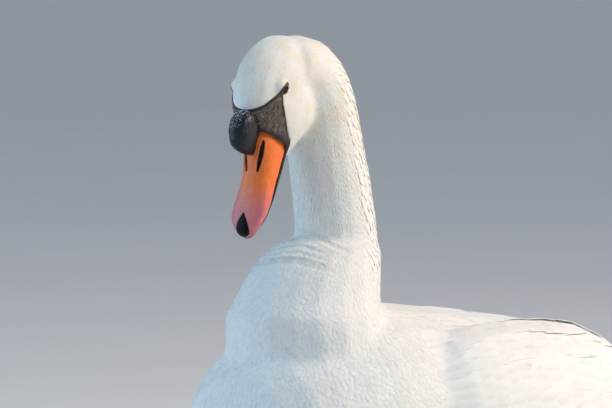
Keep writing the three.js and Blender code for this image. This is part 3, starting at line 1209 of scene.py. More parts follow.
def fold_lines(points: Array) -> tuple[Array, Array, Array, Array]:
    """The lines of the folded breast: arcs that run round below the neck.

    Args:
        points: Places in metres.

    Returns:
        At each place the small ripples from -1 to 1, and the shares of the
        main crease, of the groove where the neck goes in, and of the lip
        below that groove.
    """
    x, y, z = (points / MM).T
    ahead = y + 222
    around = np.degrees(np.arctan2(x, -ahead))
    main = Curve(
        (-120, -80, -42, -18, 0, 20, 41, 58, 69, 76, 90, 120),
        (235, 252, 278, 291, 295.5, 297.8, 294.5, 289.6, 282.4, 271, 255, 240),
    )
    radius = np.maximum(np.hypot(x, ahead), 25)
    slope = np.degrees(main(around + 2) - main(around - 2)) / 4 / radius
    edge = Curve((-100, -45, 0, 35, 60, 100), (300, 314, 318, 317, 312, 296))(around)
    wave = 1.1 * roughness_at(points, 22, 2)
    level = (z - main(around) + wave) / np.sqrt(1 + slope**2)
    front = ramp(-y, 205, 232) * (1 - ramp(np.abs(around), 66, 96))
    window = ramp(level, -7, -1) * (1 - ramp(z - edge, -5, -1)) * front
    window *= 1 - ramp(np.abs(around), 46, 62)
    ripple = np.sin(2 * np.pi * level / 4.6 + 1.6) * window
    crease = np.exp(-((level / 1.6) ** 2)) * front * (1 - ramp(around, 50, 66))
    groove = np.exp(-(((z - edge - 1.5) / 2.0) ** 2)) * front
    lip = np.exp(-(((z - edge + 4) / 3.0) ** 2)) * front
    return ripple, crease, groove, lip


def stain_at(points: Array) -> Array:
    """How warm the plumage is at each place: most on head and upper neck.

    Args:
        points: Places in metres.

    Returns:
        A share from 0 to 1 for each place.
    """
    x, _, z = (points / MM).T
    local = HEAD.read(points)
    up_high = 0.10 + 0.42 * ramp(z, 300, 430)
    face = 0.25 * ramp(-np.abs(local[:, 0] + 45), -45, -10) * ramp(z, 400, 430)
    on_body = 0.06 * (1 - ramp(z, 250, 310))
    _, crease, groove, _ = fold_lines(points)
    collar = 0.8 * groove * ramp(x, -5, 25) + 0.3 * crease
    share = np.where(z > 300, up_high, on_body + 0.04)
    return np.clip(share + face + collar, 0, 1)


# Coat


@dataclass(frozen=True)
class CoatSize:
    """One field of small feathers: how long, wide and high they lie."""

    name: str
    length: float
    width: float
    lift: tuple[float, float]
    lobe: Lobe
    seed: int
    stations: int = 2
    camber: float = 0.05
    ruffle: float = 0.12
    softness: float = 0.85


class Coat:
    """Small feathers laid over a region of the skin."""

    def __init__(self, skin: BodySkin, size: CoatSize) -> None:
        """Stores the skin and the feathers' sizes.

        Args:
            skin: The skin to lie on.
            size: The field's sizes, as shares of the spacing where not lifts.
        """
        self.skin = skin
        self.size = size
        self.random = np.random.default_rng(size.seed)

    def roots(self, spacing: Array) -> tuple[Array, Array, Array, Array]:
        """Scattered roots, none closer to another than the spacing there.

        Args:
            spacing: Wanted distance at each vertex in millimetres, 0 for none.

        Returns:
            The roots, the spacing at each, and their triangles and weights.
        """
        surface = self.skin.surface
        t = surface.triangles
        corners = surface.points[t]
        cross = np.cross(corners[:, 1] - corners[:, 0], corners[:, 2] - corners[:, 0])
        area = np.linalg.norm(cross, axis=1) / 2
        held = (spacing[t] > 0).all(1)
        mean = np.where(held, spacing[t].mean(1), 1.0)
        density = np.where(held, area / (mean * MM) ** 2, 0)
        count = int(density.sum() * 7)
        index = self.random.choice(len(t), count, p=density / density.sum())
        r = np.sqrt(self.random.random(count))
        s = self.random.random(count)
        weights = np.stack([1 - r, r * (1 - s), r * s], 1)
        points = surface.blend(surface.points, index, weights)
        gaps = surface.blend(spacing[:, None], index, weights)[:, 0]
        kept = self._spread_out(points / MM, gaps * 0.86)
        return points[kept], gaps[kept], index[kept], weights[kept]

    @staticmethod
    def _spread_out(points: Array, gaps: Array) -> Array:
        """Picks points in turn that keep clear of those picked before.

        Args:
            points: Candidates in millimetres.
            gaps: The clear distance round each.

        Returns:
            The picked rows' numbers.
        """
        cell = float(gaps.max())
        grid: dict = defaultdict(list)
        keys = np.floor(points / cell).astype(int).tolist()
        rows = points.tolist()
        reach = (gaps**2).tolist()
        kept = []
        around = [(i, j, k) for i in (-1, 0, 1) for j in (-1, 0, 1) for k in (-1, 0, 1)]
        for n, (x, y, z) in enumerate(rows):
            cx, cy, cz = keys[n]
            limit = reach[n]
            clear = True
            for i, j, k in around:
                for px, py, pz in grid.get((cx + i, cy + j, cz + k), ()):
                    if (px - x) ** 2 + (py - y) ** 2 + (pz - z) ** 2 < limit:
                        clear = False
                        break
                if not clear:
                    break
            if clear:
                grid[(cx, cy, cz)].append((x, y, z))
                kept.append(n)
        return np.array(kept)

    def build(self, spacing: Array, material: Material, slot: str) -> None:
        """Grows the field and dresses it.

        Args:
            spacing: Wanted distance at each vertex in millimetres, 0 for none.
            material: The feathers' finish.
            slot: Not used.
        """
        size, surface, rnd = self.size, self.skin.surface, self.random
        roots, gaps, index, weights = self.roots(spacing)
        count = len(roots)
        normals = unit(surface.blend(surface.normals, index, weights))
        lie = unit(flat_part(surface.blend(self.skin.lie, index, weights), normals))
        turn = rnd.normal(0, 0.10, count)[:, None]
        lie = unit(lie + np.cross(normals, lie) * turn)
        across = np.cross(normals, lie)
        length = gaps * size.length * rnd.uniform(0.85, 1.15, count) * MM
        width = gaps * size.width * rnd.uniform(0.88, 1.12, count) * MM
        high = 1 + size.ruffle * rnd.normal(0, 1, count)
        steps = np.arange(1, size.stations + 1) / (size.stations + 0.55)
        breadth = self.outline(steps)
        low, top = size.lift
        rows = [roots + normals * low * MM * 0.3]
        lifts = [np.full(count, low * 0.3)]
        ts, xs = [0.0], [0.0]
        for t, wide in zip([*steps, 1.0], [*breadth, 0.0]):
            lift = low + (top - low) * t**1.3 * np.clip(high, 0.3, 2.2)
            for x in (-1, 0, 1) if t < 1 else (0,):
                rows.append(
                    roots
                    + lie * (t * length)[:, None]
                    + across * (x * wide * width / 2)[:, None]
                )
                rise = size.camber * gaps * (1 - x * x) * min(1.0, 2.5 * (1 - t) + 0.2)
                lifts.append(lift + rise)
                ts.append(t)
                xs.append(x * wide)
            if t < 1:
                rows.append(roots + lie * (t * length)[:, None])
                lifts.append(lift - 0.05 * gaps)
                ts.append(t)
                xs.append(0.0)
        places = np.stack(rows, 1)
        each = places.shape[1]
        laid, at = surface.laid(places.reshape(-1, 3))
        rise = np.stack(lifts, 1).reshape(-1, 1) * MM
        faces = self._vane_faces(size.stations)
        points = (laid + at * rise).reshape(count, each, 3)
        at = at.reshape(count, each, 3)
        good = self.unfolded(points, at, faces)
        points, at = points[good].reshape(-1, 3), at[good].reshape(-1, 3)
        roots, width, length = roots[good], width[good], length[good]
        count = len(roots)
        all_faces = (faces[None] + (np.arange(count) * each)[:, None, None]).reshape(-1, 3)
        obj = mesh_object(size.name, points, all_faces)
        own = normals_of(obj)
        soft = unit(at * size.softness + own * (1 - size.softness))
        obj.data.normals_split_custom_set_from_vertices(soft.tolist())
        ts, xs = np.array(ts), np.array(xs)
        across_mm = np.outer(width / 2, xs) + rnd.random(count)[:, None] * 0.3
        along_mm = np.outer(length, ts) + rnd.random(count)[:, None] * 0.3
        uv_map(obj, BAKE_MAP, self.bake_places(roots, ts, xs))
        uv_map(obj, VANE_MAP, np.stack([across_mm.ravel(), along_mm.ravel()], 1))
        attribute(obj, "stain", np.repeat(stain_at(roots), each))
        # Painted shade: darker in the troughs of the ripples, along the main crease and in the
        # groove where the neck goes in, on top of a random tone per feather.
        ripple, crease, groove, _ = fold_lines(points)
        dark = 0.45 * ramp(-ripple, 0, 0.9) + 0.5 * crease + 0.3 * groove
        shade = np.repeat(np.clip(rnd.normal(0.10, 0.07, count), 0, 0.35), each)
        attribute(obj, "shade", np.clip(shade + dark, 0, 1))
        finish_piece(obj, material)

    @staticmethod
    def unfolded(vanes: Array, outward: Array, faces: Array) -> Array:
        """Which vanes lie flat, with no upper face turned over.

        Args:
            vanes: The points of each vane.
            outward: The surface's direction at each of them.
            faces: The triangles of one vane, the upper ones first.

        Returns:
            True for each vane that lies flat.
        """
        upper = faces[: len(faces) // 2]
        a, b, c = (vanes[:, upper[:, k]] for k in range(3))
        facing = unit(np.cross(b - a, c - a))
        middle = unit(outward.mean(1))[:, None]
        return (facing * middle).sum(2).min(1) > 0.3

    def outline(self, steps: Array) -> Array:
        """A vane's breadth at each share of its length."""
        body = np.sin(np.pi * np.clip(steps, 0, 1) ** 0.62) ** 0.6
        return np.clip(body ** self.size.lobe.value * 1.05, 0.2, 1)

    @staticmethod
    def _vane_faces(stations: int) -> Array:
        """Triangles of one closed vane: root, stations of four, tip.

        The under side is cut along the same lines as the upper one, so that
        a twisted vane keeps its thickness.

        Args:
            stations: How many cross sections the vane has.

        Returns:
            Three corners for each triangle.
        """
        ring = [[1 + 4 * s, 2 + 4 * s, 3 + 4 * s, 4 + 4 * s] for s in range(stations)]
        tip = 1 + 4 * stations
        faces = []
        for k in range(4):
            m = (k + 1) % 4
            faces.append((0, ring[0][k], ring[0][m]))
            faces.append((tip, ring[-1][m], ring[-1][k]))
            for low, high in zip(ring, ring[1:]):
                if k < 2:
                    faces.append((low[k], high[m], low[m]))
                    faces.append((low[k], high[k], high[m]))
                else:
                    faces.append((low[k], high[k], low[m]))
                    faces.append((high[k], high[m], low[m]))
        return np.array(faces)

    @staticmethod
    def bake_places(roots: Array, ts: Array, xs: Array) -> Array:
        """Each vane as a small patch at its root's place on the skin's unwrap.

        Args:
            roots: The vanes' roots in metres.
            ts: Each vertex's share of its vane's length.
            xs: Each vertex's place across its vane.

        Returns:
            Two numbers for each vertex.
        """
        u, v = unwrapped(roots)
        wide = u[:, None] + xs[None] * BAKE_PATCH / 2
        tall = v[:, None] + (ts[None] - 0.5) * BAKE_PATCH
        return np.stack([wide.ravel(), tall.ravel()], 1)


def unwrapped(points: Array) -> tuple[Array, Array]:
    """The skin's own unwrap: round the bird's middle line, and along it.

    Args:
        points: Places in metres.

    Returns:
        Two coordinates, each well inside 0 to 1 and stretched to fill it.
    """
    x, y, z = (points / MM).T
    high = ramp(z, 250, 300) * ramp(-y, 120, 170)
    middle_y = -215 - 35 * ramp(z, 420, 480)
    round_neck = np.arctan2(x - 2, -(y - middle_y))
    round_body = np.arctan2(x, z - 110)
    around = np.where(high > 0.5, round_neck, round_body) / (2 * np.pi) + 0.5
    along = np.where(high > 0.5, (510 - z) / 260, (y + 360) / 830)
    span = max(along.max() - along.min(), 1e-6)
    wide = max(around.max() - around.min(), 1e-6)
    return (
        0.01 + 0.98 * (around - around.min()) / wide,
        0.01 + 0.98 * (along - along.min()) / span,
    )


def wing_axis(y: Array) -> Array:
    """The height of the line that the wings wrap round, in millimetres."""
    return 110 - 48 * ramp(y, 120, 300)


def wing_edge(y: Array) -> Array:
    """How far round from the middle of the back the wings reach, in degrees."""
    return 92 + 20 * ramp(y, -172, -80) - 16 * ramp(y, 180, 320)


def on_wings(points: Array, margin: float) -> Array:
    """Which places the large feathers of the wings cover.

    Args:
        points: Places in metres.
        margin: How far inside the wings' edge they must be, in degrees.

    Returns:
        True for each covered place.
    """
    x, y, z = (points / MM).T
    angle = np.degrees(np.arctan2(np.abs(x), z - wing_axis(y)))
    return (angle < wing_edge(y) - margin) & (y > -140) & (y < 310)


@dataclass
class Plumes:
    """All the fields of small feathers."""

    skin: BodySkin

    def build(self) -> None:
        """Grows every field."""
        fine = Plumage("fine_plumage", streak_scale=(2200.0, 200.0, 1.0)).material()
        white = Plumage().material()
        big = Plumage("body_plumage", streak_scale=(900.0, 60.0, 1.0)).material()
        points = self.skin.surface.points
        _, y, z = (points / MM).T
        local = HEAD.read(points)
        near = np.linalg.norm(local, axis=1)
        head = (z > 395) & (near < 125) & (local[:, 1] > -30 - 0.2 * local[:, 0])
        bare = bare_face(local) & (z > BARE_ABOVE)
        bare |= (EYE.reach(local) < 1.16) & (np.abs(local[:, 2]) > 10)
        bare |= (local[:, 0] > 2) & (local[:, 1] > -10) & (near < 60)
        face = head & (near < 62)
        crown = head & ~face
        neck = (z > 298) & (y < -130) & ~head
        crop = (z > 205) & (y < -120) & ~head & ~neck
        rear = ~(head | neck | crop)
        breast = rear & (y < -140)
        open_flank = rear & ~breast & ~on_wings(points, 5)
        below = open_flank & (z < 100)
        above = open_flank & ~below
        nape = neck & (self.skin.surface.normals[:, 1] > 0.1)
        fields = (
            (face & ~bare, 1.2 + 0.35 * ramp(near, 30, 62), fine, CoatSize(
                "coat_face", 3.2, 1.5, (0.03, 0.2), Lobe.OVAL, 11)),
            (crown & ~bare, 1.5 + 0.25 * ramp(near, 62, 105), fine, CoatSize(
                "coat_crown", 3.4, 1.4, (0.04, 0.27), Lobe.OVAL, 17)),
            (neck & ~bare & (z > 385), 1.8 + 0 * z, fine, CoatSize(
                "coat_neck_upper", 3.8, 1.3, (0.05, 0.34), Lobe.OVAL, 12)),
            (neck & (z <= 385), 2.0 - 0.2 * ramp(z, 320, 385), fine, CoatSize(
                "coat_neck_lower", 3.8, 1.3, (0.05, 0.36), Lobe.OVAL, 18)),
            (nape, 6.5 + 0 * z, fine, CoatSize(
                "coat_nape", 2.0, 0.7, (0.05, 0.9), Lobe.OVAL, 19, 3)),
            (crop, 3.2 - 0.8 * ramp(z, 215, 290), white, CoatSize(
                "coat_fold", 3.4, 1.7, (0.05, 0.34), Lobe.ROUND, 13, 2, 0.03)),
            (breast, 4.8 - 1.6 * ramp(z, 60, 190), white, CoatSize(
                "coat_breast", 3.2, 1.8, (0.06, 0.42), Lobe.ROUND, 14, 3, 0.03)),
            (below, 8.5 + 0 * y, white, CoatSize(
                "coat_belly", 2.8, 1.7, (0.2, 1.1), Lobe.ROUND, 15, 3)),
            (above, 5.5 + 2.5 * ramp(y, -140, 0), big, CoatSize(
                "coat_back", 2.8, 1.7, (0.2, 1.1), Lobe.ROUND, 16, 3)),
        )
        for mask, gap, finish, size in fields:
            slot = "warm_plumage" if finish is fine else "white_plumage"
            Coat(self.skin, size).build(np.where(mask, gap, 0.0), finish, slot)


# Bill, knob, face


def lofted(name: str, rings: Array) -> Object:
    """A closed smooth piece over a run of rings.

    Args:
        name: The piece's name.
        rings: Points in metres, ring by ring, all with as many points.

    Returns:
        The object, with its normals made consistent.
    """
    count, sides = rings.shape[:2]
    points = rings.reshape(-1, 3)
    ends = np.stack([rings[0].mean(0), rings[-1].mean(0)])
    faces = grid_faces(count, sides, True).tolist()
    first, last = count * sides, count * sides + 1
    for i in range(sides):
        j = (i + 1) % sides
        faces.append([first, j, i])
        faces.append([last, (count - 1) * sides + i, (count - 1) * sides + j])
    obj = mesh_object(name, np.concatenate([points, ends]), faces)
    outwards(obj)
    return obj


@dataclass
class Bill:
    """Upper and lower bill, with nostrils and the hooked nail."""

    upper_form: HeadForm = HeadForm(
        along=(-6, 6, 20, 36, 52, 66, 76, 84, 89, 91),
        top=(27, 27, 21, 15.5, 12, 10.5, 9.5, 7.5, 4.5, 1.5),
        low=(-8.5, -9, -8.6, -7.8, -6, -4.4, -3.6, -3.4, -3.8, -3),
        half=(16.7, 16.5, 15.8, 15.7, 17.0, 17.5, 15.6, 11.2, 6.4, 1.6),
        shift=(0.3, 0.3, 0.2, 0.1, -0.7, -1.8, -2.6, -2.7, -2.4, -2.2),
        power=(2.1, 4.5),
    )
    lower_form: HeadForm = HeadForm(
        along=(4, 18, 36, 52, 66, 78, 84),
        top=(-8, -8, -7.5, -6, -4.5, -3.8, -4),
        low=(-12.5, -12.5, -11, -9, -7.2, -6.2, -5.2),
        half=(13.5, 13.2, 13, 14.2, 14.2, 11, 3),
        shift=(0.3, 0.2, 0.1, -0.7, -1.8, -2.6, -2.7),
        power=(2.1, 4.5),
    )
    nostril: tuple = (13.5, 21.8, 10.0)
    nostril_end: tuple = (33.0, 16.0, 6.2)
    nostril_half: float = 2.7
    nostril_deep: float = 3.4
    nail_start: float = 70.0
    nail_half: float = 8.2
    nail_length: float = 21.8
    nail_left: float = -2.6
    surface: Surface = field(init=False)

    def build(self) -> None:
        """Makes upper bill, lower bill and nail."""
        horn = OrangeHorn().material()
        self.upper(horn)
        self.lower()
        self.nail()

    def upper(self, horn: Material) -> None:
        """The orange upper bill.

        Args:
            horn: Its finish.
        """
        form = self.upper_form
        obj = lofted("bill_upper_horn", form.rings(190, 150))
        local = HEAD.read(points_of(obj))
        along, up, left = local.T
        slot = self.in_slot(local)
        dip = -self.nostril_deep * (1 - ramp(slot, 0.35, 1.0))
        rim = 0.35 * np.exp(-(((slot - 1.2) / 0.22) ** 2))
        floor = form.at(form.low, along)
        groove = -0.35 * np.exp(-(((up - floor - 3.0) / 0.7) ** 2))
        groove *= ramp(along, 4, 14) * (1 - ramp(along, 74, 84))
        fine = 0.12 * roughness_at(local * np.array([0.25, 1, 1]), 0.5, 3)
        waist = -0.5 * np.exp(-(((along - 40) / 13) ** 2)) * ramp(np.abs(left), 7, 14)
        raise_points(obj, dip + rim + groove + fine + waist)
        self.surface = Surface(obj)
        black = 1 - ramp(up - floor, 1.6, 2.5)
        black = np.maximum(black, 1 - ramp(slot, 0.72, 1.08))
        base = along + 0.9 * roughness_at(local, 0.35, 3)
        black = np.maximum(black, 1 - ramp(base, -1.2, -0.2))
        rim_side = 12 * ramp(-left, 0, 14) + 6 * ramp(left, 8, 16)
        pink = ramp(along + rim_side + 4 * roughness_at(local, 0.12, 2), 40, 84)
        attribute(obj, "black", black)
        attribute(obj, "pink", pink)
        finish_piece(obj, horn, ("bill_upper",))

    def in_slot(self, local: Array) -> Array:
        """How far out each place is from a nostril, 1 at its edge.

        Args:
            local: Rows of along, up and left in millimetres.

        Returns:
            One distance for each place.
        """
        start, end = np.array(self.nostril), np.array(self.nostril_end)
        start = start + (start - end) * 0.30
        mirrored = local.copy()
        middle = self.upper_form.at(self.upper_form.shift, local[:, 0])
        mirrored[:, 2] = np.abs(mirrored[:, 2] - middle)
        run = end - start
        t = np.clip(((mirrored - start) @ run) / (run @ run), 0, 1)
        away = np.linalg.norm(mirrored - (start + t[:, None] * run), axis=1)
        half = self.nostril_half * (1 - 0.45 * np.abs(2 * t - 1) ** 2)
        return away / half

    def lower(self) -> None:
        """The lower bill, black along its edges."""
        obj = lofted("bill_lower_horn", self.lower_form.rings(90, 70))
        rise = 0.2 * roughness_at(points_of(obj) / MM, 0.5, 2)
        raise_points(obj, rise)
        attribute(obj, "worn", np.clip(0.3 + rise, 0, 1))
        skin = BlackSkin("black_horn", roughness=0.45, coat=0.1)
        finish_piece(obj, skin.material(), ("bill_lower",))

    def nail(self) -> None:
        """The black hooked nail, a raised drop on the bill's tip."""
        rows, columns = 60, 40
        t = np.linspace(0, 1, rows)[:, None]
        s = np.linspace(-1, 1, columns)[None]
        breadth = self.nail_half * np.sin(np.pi / 2 * np.minimum(t / 0.8, 1)) ** 1.15
        breadth = breadth * np.sqrt(1 - 0.75 * ramp(t, 0.8, 1.0) ** 2) + 0.3
        along = self.nail_start + self.nail_length * t + 0 * s
        left = breadth * s + self.nail_left
        up = 10.5 - 9.5 * t**3 + 0 * s
        local = np.stack([along.ravel(), up.ravel(), left.ravel()], 1)
        laid, normal = self.surface.laid(HEAD.place(local))
        round_off = (1 - np.abs(s) ** 4) * (1 - (2 * t - 1) ** 8)
        rise = -0.5 + 1.25 * round_off.ravel() + 0.5 * (t**4 * (1 - s * s)).ravel()
        top = laid + normal * rise[:, None] * MM
        under = laid - normal * 1.2 * MM
        obj = mesh_object("bill_nail", *closed_sheet(top, under, rows, columns))
        outwards(obj)
        attribute(obj, "worn", 0.2 * ramp(-points_of(obj)[:, 2] / MM, -330, -318))
        skin = BlackSkin(
            "nail_horn", colour(0.003, 0.003, 0.005), roughness=0.4, coat=0.0, specular=0.1
        )
        finish_piece(obj, skin.material(), ("nail",))


def closed_sheet(top: Array, under: Array, rows: int, columns: int) -> tuple[Array, list]:
    """A closed shell from two grids of points with the same edges' order.

    Args:
        top: The upper grid, row by row.
        under: The lower grid, row by row.
        rows: How many rows each has.
        columns: How many points each row has.

    Returns:
        The shell's points and its faces.
    """
    faces = grid_faces(rows, columns, False)[:, ::-1]
    back = faces[:, ::-1] + rows * columns
    edge = [
        *range(columns),
        *range(2 * columns - 1, rows * columns, columns),
        *range(rows * columns - 2, (rows - 1) * columns - 1, -1),
        *range((rows - 2) * columns, 0, -columns),
    ]
    shift = rows * columns
    wall = [[b, b + shift, a + shift, a] for a, b in zip(edge, edge[1:] + edge[:1])]
    return np.concatenate([top, under]), [*faces.tolist(), *back.tolist(), *wall]


@dataclass
class Knob:
    """The black knob over the root of the bill, with its pale specks."""

    voxel: float = 0.55
    speck_count: int = 620
    speck_size: tuple = (0.1, 0.33)
    seed: int = 21

    def build(self) -> None:
        """Makes knob and specks."""
        obj = copy_of(["knob"], "knob_skin")
        apply(obj, "REMESH", mode="VOXEL", voxel_size=self.voxel * MM)
        apply(obj, "SMOOTH", factor=0.5, iterations=16)
        local = HEAD.read(points_of(obj))
        along, _, left = local.T
        flank = ramp(left, 3.5, 10.5) + ramp(-left, 3.5, 10.5)
        folds = roughness_at(local * np.array([0.45, 1.3, 0.45]), 0.5, 4)
        rise = flank * 0.15 * folds
        rise += 0.35 * roughness_at(local, 0.09, 2)
        raise_points(obj, rise)
        surface = Surface(obj)
        worn = ramp(left, 9.0, 12.5) * (1 - ramp(along, 18, 24)) * 0.75
        worn += 0.4 * ramp(-left, 9, 14)
        attribute(obj, "worn", np.clip(worn * (0.8 + 0.5 * folds), 0, 1))
        skin = BlackSkin("knob_black", roughness=0.42, coat=0.1, specular=0.28, relief=0.12)
        finish_piece(obj, skin.material(), ("knob",))
        self.specks(surface)

    def specks(self, surface: Surface) -> None:
        """Scatters small drops and crumbs over the knob's top.

        Args:
            surface: The knob's surface.
        """
        rnd = np.random.default_rng(self.seed)
        unselect()
        bpy.ops.mesh.primitive_ico_sphere_add(subdivisions=1, radius=1.0)
        ball = bpy.context.object
        shape = points_of(ball)
        ball.data.calc_loop_triangles()
        faces = np.array([tuple(t.vertices) for t in ball.data.loop_triangles])
        bpy.data.objects.remove(ball)
        local = HEAD.read(surface.points)
        along, up, left = local.T
        normals = surface.normals @ HEAD.axes().T
        weight = ramp(-along, -14, 6) * ramp(up, 28, 42) * ramp(-left, -9, 2)
        weight += 0.8 * ramp(-along, 2, 9) * ramp(up, 34, 44)
        weight *= ramp(normals[:, 1] - 0.4 * normals[:, 2] - 0.5 * normals[:, 0], 0, 0.6)
        weight += 1e-9
        index = rnd.choice(len(local), self.speck_count, replace=False, p=weight / weight.sum())
        size = rnd.uniform(*self.speck_size, self.speck_count) * MM
        centres = surface.points[index] + surface.normals[index] * size[:, None] * 0.2
        flat = 0.8 + 0.4 * rnd.random((self.speck_count, 1, 3))
        points = centres[:, None] + shape[None] * flat * size[:, None, None]
        shifts = (np.arange(self.speck_count) * len(shape))[:, None, None]
        obj = mesh_object(
            "knob_specks", points.reshape(-1, 3), (faces[None] + shifts).reshape(-1, 3)
        )
        finish_piece(obj, DropGloss().material())


@dataclass
class Lores:
    """Bare black skin between the eyes and the bill, wrinkled in a fan."""

    skin: BodySkin
    rows: int = 170
    columns: int = 64
    thick: float = 2.0

    def build(self) -> None:
        """Makes the skin of both sides in one piece, laid over the face."""
        face = copy_of(["head", "bill_upper", "bill_lower", "eye_left", "eye_right"], "face_form")
        self.skin.fill_throat(face)
        apply(face, "REMESH", mode="VOXEL", voxel_size=1.0 * MM)
        apply(face, "SMOOTH", factor=0.5, iterations=12)
        form = Surface(face)
        bpy.data.objects.remove(face)
        rear = polyline(LORES_REAR, self.rows)
        front = polyline(LORES_FRONT, self.rows)
        t = np.linspace(-0.05, 1.0, self.columns)[None, :, None]
        over_horn = np.tile(ramp(t.ravel(), 0.5, 0.9), self.rows)
        held = np.tile(ramp(t.ravel(), -0.05, 0.08) * ramp(-t.ravel(), -1.0, -0.9), self.rows)
        tops, unders = [], []
        for side in Side:
            local = rear[:, None] * (1 - t) + front[:, None] * t
            local = local.reshape(-1, 3) * np.array([1, 1, side.value])
            laid, normal = form.laid(HEAD.place(local))
            place = HEAD.read(laid)
            place[:, 2] *= side.value
            lift = -0.35 + 0.75 * over_horn + self.wrinkles(place) * (0.3 + 0.7 * held)
            tops.append(laid + normal * lift[:, None] * MM)
            unders.append(laid + normal * (lift - self.thick)[:, None] * MM)
        shape = (self.rows, self.columns, 3)
        top, under = (
            np.concatenate([a.reshape(shape), b.reshape(shape)[-2::-1]]).reshape(-1, 3)
            for a, b in (tops, unders)
        )
        shell = closed_sheet(top, under, 2 * self.rows - 1, self.columns)
        obj = mesh_object("lores_skin", *shell)
        outwards(obj)
        local = HEAD.read(points_of(obj))
        place = np.abs(local) * np.array([0, 0, 1]) + local * np.array([1, 1, 0])
        # Pale brown wear at random plus painted highlight on the wrinkles' ridges; none close to
        # the feathered rear edge, fading out towards the bill.
        worn = 0.6 + 0.4 * roughness_at(local, 0.25, 3)
        worn += 0.9 * self.wrinkles(place)
        behind = polyline(LORES_REAR, 60)
        away = np.linalg.norm(place[:, None] - behind[None], axis=2).min(1)
        worn *= ramp(-local[:, 0], -1.0, 5) * ramp(away, 0.9, 2.4)
        attribute(obj, "worn", np.clip(worn, 0, 1))
        finish = BlackSkin(
            "lores_black",
            dark=colour(0.011, 0.010, 0.010),
            worn=colour(0.36, 0.26, 0.21),
            roughness=0.55,
            coat=0.05,
            grain=1100.0,
            relief=0.35,
        )
        finish_piece(obj, finish.material())

    @staticmethod
    def wrinkles(local: Array) -> Array:
        """The height of the wrinkles that fan out from the eye's corner.

        Args:
            local: Rows of along, up and left in millimetres.

        Returns:
            Millimetres above the smooth skin.
        """
        a, u = local[:, 0] + 36, local[:, 1] - 37
        away = np.hypot(a, u)
        angle = np.arctan2(u, a)
        fan = np.stack([angle * 22, away * 0.10, 0 * away], 1)
        lines = roughness_at(fan, 1.0, 3)
        grain = roughness_at(local, 1.1, 2)
        return ramp(away, 0, 9) * (0.50 * lines + 0.10 * grain)


@dataclass
class Eyes:
    """Both eyeballs and their lids."""

    def build(self) -> None:
        """Makes eyes and lids."""
        gloss, rim = EyeGloss().material(), LidSkin().material()
        for side in Side:
            self.ball(side, gloss)
            self.lids(side, rim)

    @staticmethod
    def ball(side: Side, gloss: Material) -> None:
        """One eyeball with its pupil turned outwards.

        Args:
            side: Which side of the head it is on.
            gloss: Its finish.
        """
        name = side.name.lower()
        unselect()
        bpy.ops.mesh.primitive_uv_sphere_add(segments=64, ring_count=40, radius=EYE.radius * MM)
        obj = bpy.context.object
        obj.name = f"eyeball_{name}"
        points = points_of(obj)
        gaze = np.array([0.26, -0.06, side.value])
        turned = axes_towards(gaze)
        local = points / MM @ turned
        away = np.degrees(np.arccos(np.clip(local @ unit(gaze) / EYE.radius, -1, 1)))
        hidden = ramp(EYE.reach(EYE.centre(side) + local), 1.2, 1.7)
        local *= (1 - 0.12 * hidden)[:, None]
        move_points(obj, HEAD.place(EYE.centre(side) + local))
        outwards(obj)
        obj.data.shade_smooth()
        attribute(obj, "pupil", 1 - ramp(away, 22, 26))
        attribute(obj, "white_of_eye", ramp(away, 44, 50))
        finish_piece(obj, gloss, (f"eye_{name}",))

    @staticmethod
    def lids(side: Side, rim: Material) -> None:
        """The two lids of one eye as one almond ring.

        Args:
            side: Which side of the head they are on.
            rim: Their finish.
        """
        around, turns = 96, 12
        angle = np.arange(around) / around * 2 * np.pi
        long_way, high_way = np.cos(angle), np.sin(angle)
        almond = np.sign(high_way) * np.abs(high_way) ** 1.2
        corner = 1 + 0.16 * ramp(long_way, 0.8, 1.0)
        tall = np.where(high_way > 0, EYE.open_high, EYE.open_low)
        rings = []
        for k in range(turns):
            t = 2 * np.pi * k / turns
            grow = 0.75 * (1 - math.cos(t))
            far = (EYE.open_long * corner + grow) * long_way
            lift = 0.30 + 0.42 * math.sin(t) + 0.1 * (1 - math.cos(t))
            rings.append(EYE.on_ball(far, (tall + grow) * almond, lift, side))
        rings = np.array(rings)
        first = np.arange(around)
        second, last = np.roll(first, -1), (turns - 1) * around
        wrap = np.stack([last + first, last + second, second, first], 1)
        faces = np.concatenate([grid_faces(turns, around, True), wrap])
        obj = mesh_object(f"lids_{side.name.lower()}", rings.reshape(-1, 3), faces)
        outwards(obj)
        corners = np.tile(ramp(np.abs(long_way), 0.75, 0.97), turns)
        low = np.tile(ramp(-high_way, 0.3, 0.9), turns)
        attribute(obj, "pink", np.clip(0.08 + 0.8 * corners + 0.3 * low, 0, 1))
        finish_piece(obj, rim)


def axes_towards(gaze: Array) -> Array:
    """Three unit rows, the last along a direction."""
    z = unit(np.asarray(gaze, float))
    x = unit(np.cross([0.0, 1.0, 0.0], z))
    return np.stack([x, np.cross(z, x), z])


# Long plumes


class Tract(Enum):
    """Tracts of large feathers on the wings, by where each one begins."""

    COVERTS_SMALL = -172.0
    COVERTS_LARGE = -90.0
    SECONDARIES = 20.0
    TERTIALS = 140.0


